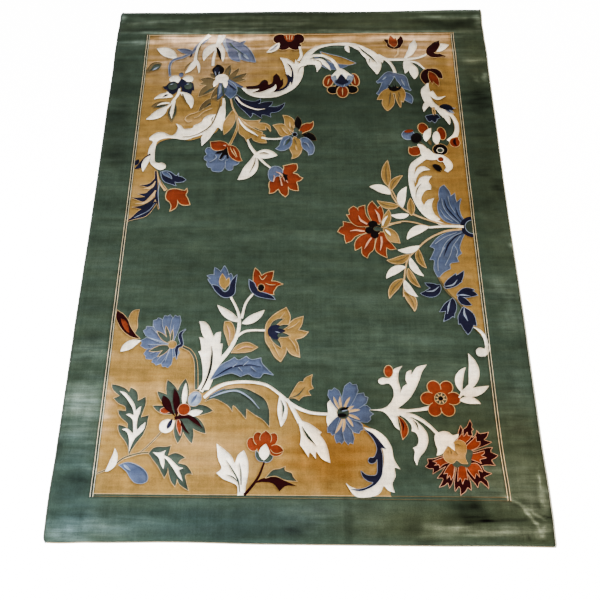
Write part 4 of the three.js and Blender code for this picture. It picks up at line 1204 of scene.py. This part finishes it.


# Nap of the pile: painted sheen, light and shade
# Short pile lies one way, and its sheen, light and shade are painted into its colour: paler painted sheen in
# wisps across the rug, painted highlights and painted shade at the corners, along the old folds and in the
# pressed lines. Each mark is a soft oval on the cloth.
# Marks: x, y, half its length and width, its turn in degrees, how much painted sheen it mixes in (below 0:
# how far its colour is deepened as painted shade where the tips stand up), and how much painted light it adds
# (below 0: painted shade)
NAP_LIGHT_MARKS = (
    (-735, -500, 85, 55, 0, 0.25, 0.08), (-742, -528, 38, 9, 10, 0, -0.4),
    (-736, -597, 95, 10, 0, 0, -0.3), (-728, -712, 95, 58, 4, 0.62, 0.24),
    (-735, -655, 90, 40, 0, 0.35, 0.12), (-728, -800, 90, 42, 5, 0.35, 0.08),
    (-723, -866, 80, 24, 0, 0.2, 0), (-788, -850, 16, 52, 0, 0, -0.45), (-716, -946, 46, 24, 5, 0, -0.42),
    (-725, -992, 95, 34, 12, 0.05, -0.34), (-640, -1098, 210, 44, 0, 0.28, 0.02),
    (-735, -1120, 95, 26, -8, 0.45, 0.12), (-480, -1052, 190, 13, 3, 0, -0.22),
    (-640, -1040, 120, 12, -2, 0.1, -0.15), (-360, -1112, 160, 16, 2, 0.1, -0.2),
    (-150, -1072, 300, 66, 2, 0.12, -0.3), (40, -1060, 110, 60, 0, 0.25, -0.05),
    (162, -1080, 20, 80, 0, 0, -0.45), (235, -1085, 60, 60, 0, 0.1, 0.05),
    (361, -1090, 48, 48, 80, 0, -0.38), (400, -1137, 66, 15, 0, 0, -0.5),
    (545, -1036, 80, 40, 0, -0.4, -0.55), (528, -1068, 66, 22, 2, -0.3, -0.45),
    (476, -1078, 24, 34, 0, 0, -0.22), (640, -1070, 190, 8, 4, 0, -0.55),
    (650, -1098, 160, 20, 3, 0.3, 0.18), (762, -1102, 34, 24, 40, 0.6, 0.35),
    (778, -1008, 24, 50, 10, 0.45, 0.28), (690, -1108, 80, 18, 5, 0.25, 0.15),
    (715, -1030, 64, 7, -33, 1, 0.9), (733, -1066, 66, 6, -58, 0.98, 0.75),
    (640, -990, 120, 60, -10, 0.25, 0.1), (736, 842, 75, 20, 0, 0.5, 0.35),
    (738, 785, 62, 40, 0, 0.1, -0.25), (778, 752, 15, 34, 8, 0.6, 0.35), (742, 736, 12, 24, 30, 0.4, 0.3),
    (739, 650, 80, 95, 0, -0.3, -0.45), (735, 520, 80, 45, 0, 0, 0.05), (730, 449, 80, 9, 0, 0, -0.35),
    (746, 367, 75, 50, 0, 0, -0.05), (718, 262, 38, 28, 0, 0, -0.4), (772, 187, 34, 64, 0, 0, -0.4),
    (731, 60, 80, 75, 0, 0.15, -0.08), (787, -70, 13, 11, 0, 1, 0.8), (733, -264, 80, 62, 0, 0.25, 0.15),
    (764, -373, 64, 72, 0, 0.2, 0.12), (738, -150, 85, 9, 0, 0, -0.25),
    (740, -700, 100, 260, 0, 0.12, 0.02), (740, -960, 90, 90, 0, 0.22, 0.08),
    (737, -560, 80, 8, 2, 0, -0.25), (733, -830, 75, 9, -4, 0, -0.28),
    (738, 350, 90, 420, 0, -0.2, -0.22), (540, 1134, 330, 7, 0, 0.6, 0.6),
    (640, 1099, 210, 9, -1, 0.6, 0.7), (-680, 1036, 135, 13, 0, 0, -0.5),
    (-50, 1062, 380, 32, 0, 0, -0.22), (690, 1055, 170, 30, 0, -0.3, -0.55),
    (-100, 1122, 760, 7, 0, 0, -0.35), (-788, 1105, 20, 34, 0, 0.6, 0.55),
    (-420, 1012, 420, 15, 0, 0.7, 0.75), (330, 1010, 480, 13, 0, 0.5, 0.4),
    (-560, 1086, 220, 14, 1, 0.4, 0.45), (780, 1075, 26, 60, 0, 0.5, 0.4),
    (-300, 1040, 260, 12, 1, 0.3, 0.5), (-430, 972, 330, 24, 0, 1, 0.85),
    (150, 972, 420, 16, 0, 0.5, 0.15), (560, 968, 150, 16, 0, 0.4, 0.1), (-60, 925, 420, 9, 1, 0.45, 0.3),
    (-560, -916, 150, 15, -2, -0.3, -0.2), (-420, -880, 240, 9, 1, 0, -0.12),
    (100, -870, 150, 105, 0, -1, -0.1), (20, -868, 10, 80, 4, 0, 0.22), (86, -880, 8, 70, -3, 0, 0.22),
    (150, -800, 60, 14, 10, 0, 0.2), (-260, -780, 160, 10, 2, 0, -0.1),
    (-470, -740, 330, 260, 0, 0, 0.22), (600, 200, 90, 520, 0, -0.45, -0.06),
    (200, 640, 480, 180, 0, -0.1, -0.25), (560, 620, 120, 260, 0, -0.3, -0.1),
    (-740, 955, 90, 16, 0, 0.2, 0.15), (-742, 860, 80, 12, 3, 0, -0.25), (-738, 700, 85, 60, 0, 0, -0.3),
    (-742, 590, 80, 10, 0, 0.1, 0.15), (-738, 420, 85, 90, 0, 0, -0.3), (-740, 330, 85, 9, 0, 0.1, 0.15),
    (-738, 130, 90, 70, 0, 0, -0.1), (-742, 40, 85, 9, 0, 0, -0.25), (-736, -120, 90, 60, 0, 0.05, -0.05),
    (-400, 985, 260, 22, 0, 0.6, 0.05), (-430, 938, 240, 13, 1, 0.6, 0.1),
    (-360, 910, 220, 8, -1, 0.5, 0.05), (-480, 884, 170, 9, 1, 0.45, 0.1),
    (-300, 868, 180, 7, 0, 0.35, 0.05), (-560, 850, 100, 7, 0, 0.3, 0.05),
    (490, 985, 200, 20, 0, 0.6, 0.05), (500, 940, 190, 11, 1, 0.6, 0.08),
    (520, 905, 170, 8, -1, 0.45, 0.05), (540, 875, 140, 6, 1, 0.35, 0.05),
    (-400, 850, 300, 170, 0, 0.24, -0.1), (500, 850, 200, 170, 0, 0.22, -0.1),
    (217, -621, 40, 44, 0, 0, -0.3), (233, -762, 34, 60, 4, 0, -0.3), (605, -665, 90, 12, -6, 0, -0.3),
    (566, -722, 80, 9, 5, 0, -0.22), (150, -724, 110, 120, 0, -0.3, -0.12),
    (71, -1039, 60, 24, 0, 0, -0.32), (216, -1034, 52, 30, 0, 0, -0.4), (2, -1104, 56, 26, 4, 0, -0.36),
    (490, -1099, 120, 24, 0, 0.55, 0.35), (644, -1104, 50, 22, 0, 0.4, 0.2),
    (414, -1088, 40, 14, 6, 0.25, 0.15), (737, -1029, 26, 50, 0, 0.45, 0.2),
    (-766, 796, 60, 60, 0, 0, -0.28), (-748, 556, 60, 90, 0, 0, -0.38), (-735, 331, 60, 60, 0, 0, -0.28),
    (-713, -441, 60, 30, 2, 0, -0.32), (-703, -607, 60, 34, 0, 0.2, 0.22),
    (-691, -914, 50, 26, 0, 0.2, 0.2), (757, -9, 50, 34, 0, 0, -0.22), (735, -643, 50, 30, 0, 0.15, 0.22),
    (728, -776, 50, 22, 0, 0.1, -0.28), (-708, 1083, 80, 26, 0, 0.2, 0.28),
    (-197, 1071, 260, 14, 0, 0.25, 0.4), (-220, 1107, 200, 9, 0, 0.2, 0.35),
    (2, 1081, 90, 20, 2, 0.2, 0.22), (362, 1077, 70, 24, 0, 0, -0.16), (528, 1075, 90, 26, 0, 0, -0.38),
    (133, 1025, 150, 7, 1, 0.3, 0.35), (711, -1030, 35, 3, -24, 0, -0.68),
    (771, -1053, 30, 3, -17, 0, -0.6), (722, -1047, 16, 6, -25, 0.84, 0.6),
    (746, -1078, 12, 7, -42, 0.98, 0.68), (762, -1095, 15, 6, 47, 0.98, 0.6),
    (757, -1116, 9, 6, -48, 0.7, 0.45), (771, -938, 29, 5, -88, 0.84, 0.68),
    (717, -1121, 12, 6, -64, 0, -0.45), (774, -1015, 13, 5, -61, 0.7, 0.45),
    (758, -1024, 16, 5, -81, 0, -0.45), (786, -984, 20, 6, -85, 0, -0.38),
    (767, -876, 24, 7, -92, 0, -0.25), (570, -1037, 31, 26, -8, 0, -0.25),
    (-709, -953, 52, 16, 0, 0, -0.25), (-702, -1066, 54, 10, -6, 0, -0.25),
    (-466, -1030, 92, 7, -5, 0, -0.22), (-675, -1106, 74, 10, 5, 0.2, 0.15),
    (600, -905, 90, 16, 1, 0.4, 0.25), (612, -760, 60, 12, 0, 0, -0.2), (-740, -240, 90, 10, 1, 0, -0.22),
    (-735, -330, 90, 40, 0, 0.05, -0.08), (300, -500, 380, 180, 0, 0.05, 0.15),
)
# Where warm light (above 0) and cool light (below 0) are painted into the yarn's colour: x, y, half length
# and width, and how far
TINTED_LIGHT_PLACES = (
    (480, -1085, 420, 80, 1.1), (-330, -1090, 460, 80, -0.8), (745, -950, 110, 260, 1.1),
    (745, 860, 100, 200, 0.8), (600, -800, 190, 200, 0.6), (150, 1070, 900, 90, 0.8),
    (-735, -980, 100, 200, -0.8), (745, 200, 90, 500, 0.5), (120, -870, 200, 120, 0.7),
    (600, 300, 110, 600, 0.15), (420, -720, 260, 200, 0.45), (590, -900, 130, 140, 0.6),
)


def painted_nap_light_at(x, y):
    """How much painted sheen each point takes, how much painted light it gets (below 0: painted shade) and
    how far its colour is tinted by painted warm and cool light: each mark is a hump of the distance from its
    middle, both ways shifted by sines so that its rim ends in wisps."""
    pale, painted_light, light_tint = np.zeros((3, len(x)))
    for at_x, at_y, long, wide, amount in TINTED_LIGHT_PLACES:
        light_tint += amount * hump(np.hypot((x - at_x) / long, (y - at_y) / wide) / 1.4)
    for at_x, at_y, long, wide, turn, sheen_amount, light_amount in NAP_LIGHT_MARKS:
        along = (x - at_x) * np.cos(np.radians(turn)) + (y - at_y) * np.sin(np.radians(turn))
        off = (y - at_y) * np.cos(np.radians(turn)) - (x - at_x) * np.sin(np.radians(turn))
        along = along + 0.22 * long * np.sin(y / 7.3 + 1.7 * np.sin(x / 90) + at_x)
        off = off + 0.16 * wide * np.sin(x / 31 + at_y) + 0.1 * wide * np.sin(x / 13 + y / 40)
        strength = hump(np.hypot(along / long, off / wide) / 1.25)
        pale += sheen_amount * strength
        painted_light += light_amount * strength
    return np.clip(pale, -1, 1), np.clip(painted_light, -0.7, 1.2), np.clip(light_tint, -1, 1)


# Tufts stand in rows, this many to a metre across and along, each a little lighter or darker than the next
TUFTS = (385, 335, 0)
tree, depth, out, place = start_effect("Pile tufts", "Depth", 0.35, "Shade", "Height")
pile_tufts = tree
tuft = add_node(tree, "ShaderNodeTexVoronoi", {"Vector": multiplied(tree, place, TUFTS), "Scale": 1,
                                               "Randomness": 0.6}, voronoi_dimensions="2D").outputs
own = add_node(tree, "ShaderNodeSeparateColor", {0: tuft["Color"]}).outputs[0]
crown = rescale(tree, tuft["Distance"], 0.1, 0.75, 1, 0)
lean = compute(tree, "MULTIPLY", compute(tree, "SUBTRACT", own, 0.5), 0.45)
# Between the tufts' crowns the colour is darkened: painted shade in the gaps
gap_shade = compute(tree, "MULTIPLY", compute(tree, "SUBTRACT", crown, 0.7), 1.2)
tree.links.new(weighted(tree, 1, (compute(tree, "ADD", lean, gap_shade), depth)), out["Shade"])
tree.links.new(compute(tree, "ADD", crown, lean), out["Height"])


def streaks(tree, place, stretch, detail, roughness=0.5):
    """A soft noise drawn out along one axis, as the nap's streaks are, about 0."""
    noise = {"Vector": multiplied(tree, place, stretch), "Scale": 1, "Detail": detail, "Roughness": roughness}
    return compute(tree, "SUBTRACT", add_node(tree, "ShaderNodeTexNoise", noise).outputs[0], 0.5)


# Streaks of painted nap sheen and shade, from broad ones across the rug to blotches, with each one's stretch
# and strength
tree, amount, out, place = start_effect("Nap sheen and shade", "Streaks", 1.1, "Shade", "Pale", "Deep", "Tint")
nap_sheen_and_shade = tree
# The Nap attribute holds each point's painted sheen, painted light and painted warm and cool light tint
marks = add_node(tree, "ShaderNodeAttribute", attribute_name="Nap").outputs["Vector"]
pale, painted_light, light_tint = add_node(tree, "ShaderNodeSeparateXYZ", {0: marks}).outputs
broad = streaks(tree, place, (1.7, 13, 0), 3)
narrow = streaks(tree, place, (6, 80, 0), 4, 0.6)
short_streaks = streaks(tree, place, (30, 9, 0), 3)
ranks = streaks(tree, place, (150, 1.6, 0), 2)
blotches = streaks(tree, place, (24, 30, 0), 4, 0.62)
waves = weighted(tree, 0, (broad, 1.05), (narrow, 0.6), (short_streaks, 0.35), (ranks, 0.3), (blotches, 0.8))
# A mark's own strength breaks up into wisps
wisp = rescale(tree, weighted(tree, narrow, (short_streaks, 0.5)), -0.22, 0.22, 0.35, 1.65)
# The marks' painted light and shade, times the painted shade of the streaks
marked = weighted(tree, 1, (painted_light, wisp))
tree.links.new(compute(tree, "MULTIPLY", marked, weighted(tree, 1, (waves, amount))), out["Shade"])
# Pale is the share of the painted sheen colour; Deep darkens the colour as painted shade where a mark's sheen
# value is below 0
sheen_streaks = compute(tree, "MAXIMUM", broad, 0)
tree.links.new(weighted(tree, 0, (sheen_streaks, 0.5), (pale, wisp)), out["Pale"])
tree.links.new(rescale(tree, pale, -1, 0, 1.3, 1), out["Deep"])
# Where warm light is painted, the colour gains red and loses blue, and where cool light is painted, the other
# way round
warm = weighted(tree, light_tint, (streaks(tree, place, (7, 34, 0), 3), 0.9))
tint = add_node(tree, "ShaderNodeCombineXYZ", {0: rescale(tree, warm, -1, 1, 0.84, 1.16),
                                               1: rescale(tree, warm, 0, 1, 1, 0.94),
                                               2: rescale(tree, warm, -1, 1, 1.28, 0.72)})
tree.links.new(tint.outputs[0], out["Tint"])

# Each yarn's own colour, and the paler colour painted in as its sheen where the nap marks and streaks put it
YARNS = {
    "green": ((41, 53, 44), (76, 90, 84)), "gold": ((121, 94, 47), (205, 172, 140)),
    "cream": ((240, 232, 216), (236, 230, 222)), "blue": ((61, 72, 98), (112, 112, 134)),
    "navy": ((16, 17, 36), (36, 40, 60)), "orange": ((95, 35, 14), (124, 62, 38)),
    "maroon": ((24, 1, 3), (32, 7, 9)), "black": ((6, 3, 4), (16, 13, 15)),
    "leaf": ((43, 53, 47), (78, 90, 84)), "olive": ((80, 68, 44), (104, 94, 72)),
    "pale": ((112, 124, 146), (150, 156, 170)), "tan": ((172, 142, 98), (200, 178, 146)),
    "pink": ((184, 136, 112), (208, 172, 154)), "straw": ((206, 190, 158), (214, 204, 184)),
    "dusk": ((30, 32, 28), (60, 66, 58)),
}


def pile_material(yarn):
    """Cut pile in one yarn: its own colour and its painted sheen colour mixed by the nap, tinted by painted
    warm and cool light, shaded tuft by tuft, with the nap's painted light and shade, and a soft sheen.
    """
    material, tree, shader = start_material("Pile " + yarn, Roughness=0.9, Specular_IOR_Level=0.03,
                                            Sheen_Weight=0.015, Sheen_Roughness=0.5)
    tufts = place_effect(tree, pile_tufts, Depth=0.35)
    nap = place_effect(tree, nap_sheen_and_shade, Streaks=1.1)
    mixed = mix_colours(tree, nap["Pale"], *YARNS[yarn])
    mixed = add_node(tree, "ShaderNodeGamma", {"Color": mixed, "Gamma": nap["Deep"]}).outputs[0]
    shade = compute(tree, "MULTIPLY", tufts["Shade"], nap["Shade"])
    lit = multiplied(tree, multiplied(tree, mixed, nap["Tint"]), shade)
    finish_material(tree, shader, lit, tufts["Height"], 0.5, 0.0012)
    return material


for yarn in yarn_names:
    piece = pile_piece(yarn)
    # Each piece keeps the nap marks' painted sheen, painted light and painted light tint as its Nap attribute
    spots = np.empty(3 * len(piece.data.vertices), np.float32)
    piece.data.vertices.foreach_get("co", spots)
    across, along = spots.reshape(-1, 3)[:, :2].T / MM
    nap = np.stack(painted_nap_light_at(across, along), -1).astype(np.float32)
    piece.data.attributes.new("Nap", "FLOAT_VECTOR", "POINT").data.foreach_set("vector", nap.ravel())
    piece.data.materials.append(pile_material(yarn))

# Overcast sides
# Wool yarn wound round each selvedge, wrap beside wrap, from end to end. The right side's yarn is given a
# much
# paler colour than the left: partly a paler yarn, partly a painted highlight for the light that edge catches.
# The wraps slant a little, as a hand or machine carries the yarn along.
WRAP = 2.7
ROWS_PER_WRAP = 5
BINDING_HEIGHT = 7
SWELL = 0.45
# At its two ends the yarn is pulled in by so much over so long a stretch
PULLED_IN, PULL_LENGTH = 0.6, 4
# Section: share of the binding's width from the body outwards, and of its height
SECTION = ((0, 0), (0, 0.8), (0.25, 0.97), (0.55, 1), (0.85, 0.8), (1, 0.45), (0.94, 0.1), (0.85, 0))
SECTION_MIDDLE = (0.35, 0.4)


def overcast_side(side):
    """The section swept along the selvedge. Each wrap is a half sine that swells the section, and its phase
    runs on round the section, so that the wraps slant by half their width."""
    sign = -1 if side == "left" else 1
    rows = np.arange(-LENGTH / 2, LENGTH / 2 + 0.01, WRAP / ROWS_PER_WRAP)
    rows = (rows * (LENGTH / 2 / rows[-1]))[:, None]
    ring = smooth_line(SECTION, step=0.12)
    turn = np.linspace(0, 1, len(ring))
    swell = SWELL * np.abs(np.sin(np.pi * (rows / WRAP + 0.5 * turn)))
    out_of = ring - SECTION_MIDDLE
    out_of /= np.hypot(*out_of.T)[:, None]
    close = ease((LENGTH / 2 - np.abs(rows)) / PULL_LENGTH)
    deep = (swell - SWELL) + (close - 1) * PULLED_IN
    outer = side_distance(side, rows)
    out_x = outer - BINDING * (1 - ring[:, 0]) + out_of[:, 0] * deep
    out_x = np.maximum(out_x, outer - BINDING + 0.05)
    z = lift(sign * out_x, rows) + np.maximum(BINDING_HEIGHT * ring[:, 1] + out_of[:, 1] * deep, 0)
    y = rows + end_shift(sign * out_x, rows)
    points = np.stack([sign * out_x, y, z], -1).reshape(-1, 3)
    grid = np.arange(len(points)).reshape(z.shape)
    faces = [grid_quads(np.concatenate([grid, grid[:, :1]], 1)), grid[:1, ::-1], grid[-1:]]
    if side == "right":
        faces = [f[:, ::-1] for f in faces]
    return build_piece("overcast_" + side, points, faces)


tree, soil, out, place = start_effect("Yarn fibres", "Soil", 0.32, "Shade", "Height")
yarn_fibres = tree
fibres = streaks(tree, place, (500, 1400, 700), 3)
soiled = streaks(tree, place, (30, 22, 30), 3)
clean = rescale(tree, soiled, -0.2, 0.2, compute(tree, "SUBTRACT", 1, soil), 0.96)
# The yarn is darker where its fibres lie low: painted shade in the grooves
lit = rescale(tree, fibres, -0.2, 0.2, 0.64, 0.96)
tree.links.new(compute(tree, "MULTIPLY", lit, clean), out["Shade"])
tree.links.new(fibres, out["Height"])
for side, colour in (("left", (70, 84, 74)), ("right", (214, 212, 188))):
    piece = overcast_side(side)
    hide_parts("binding_" + side)
    material, tree, shader = start_material("Overcasting " + side, Roughness=0.8, Specular_IOR_Level=0.3,
                                            Sheen_Weight=0.2)
    wound = place_effect(tree, yarn_fibres, Soil=0.32)
    lit = multiplied(tree, rgb(*colour)[:3], wound["Shade"])
    finish_material(tree, shader, lit, wound["Height"], 0.4, 0.0004)
    piece.data.materials.append(material)

# Studio
# A plain pale floor and soft lamps; the camera stands over the near end and looks down the rug.
FLOOR_HALF = 9
FLOOR_DOWN = -0.0002
corners = [(x * FLOOR_HALF, y * FLOOR_HALF, FLOOR_DOWN) for x, y in ((-1, -1), (1, -1), (1, 1), (-1, 1))]
floor_mesh = bpy.data.meshes.new("floor")
floor_mesh.from_pydata(corners, [], [(0, 1, 2, 3)])
floor = bpy.data.objects.new("floor", floor_mesh)
bpy.context.scene.collection.objects.link(floor)
paint = start_material("Pale floor", Roughness=0.9, Specular_IOR_Level=0.1, Base_Color=(0.9, 0.9, 0.9, 1),
                       Emission_Color=(1, 1, 1, 1), Emission_Strength=14)
floor_mesh.materials.append(paint[0])

world = bpy.data.worlds.new("Soft room")
bpy.context.scene.world = world
world.use_nodes = True
air = world.node_tree.nodes["Background"].inputs
air["Color"].default_value = (1, 1, 1, 1)
air["Strength"].default_value = 0.42


def add_lamp(name, place, aim, size, power, colour):
    """A square soft lamp, turned to face a point."""
    data = bpy.data.lights.new(name, "AREA")
    data.shape = "SQUARE"
    data.size = size
    data.energy = power
    data.color = colour
    lamp = bpy.data.objects.new(name, data)
    bpy.context.scene.collection.objects.link(lamp)
    lamp.location = place
    lamp.rotation_euler = (Vector(aim) - Vector(place)).to_track_quat("-Z", "Y").to_euler()


add_lamp("key", (-1.5, -2.1, 2.1), (-0.2, -0.3, 0), 1.4, 290, (1, 1, 0.98))
add_lamp("fill", (2.4, 0.3, 2.7), (0.2, 0, 0), 2.5, 150, (1, 0.8, 0.5))

# The camera looks straight down at first, and these turns are applied one after another about its own axes
EYE = (0.0125, -1.5704, 2.4983)
TURNS = ((3.560, "Z"), (27.124, "X"), (-3.059, "Z"))
camera_data = bpy.data.cameras.new("camera")
camera_data.sensor_width = 36
camera_data.lens = 46.61
camera_data.shift_x = 0.0335
camera = bpy.data.objects.new("camera", camera_data)
bpy.context.scene.collection.objects.link(camera)
stand = Matrix.Translation(EYE)
for turn, axis in TURNS:
    stand = stand @ Matrix.Rotation(radians(turn), 4, axis)
camera.matrix_world = stand
bpy.context.scene.camera = camera
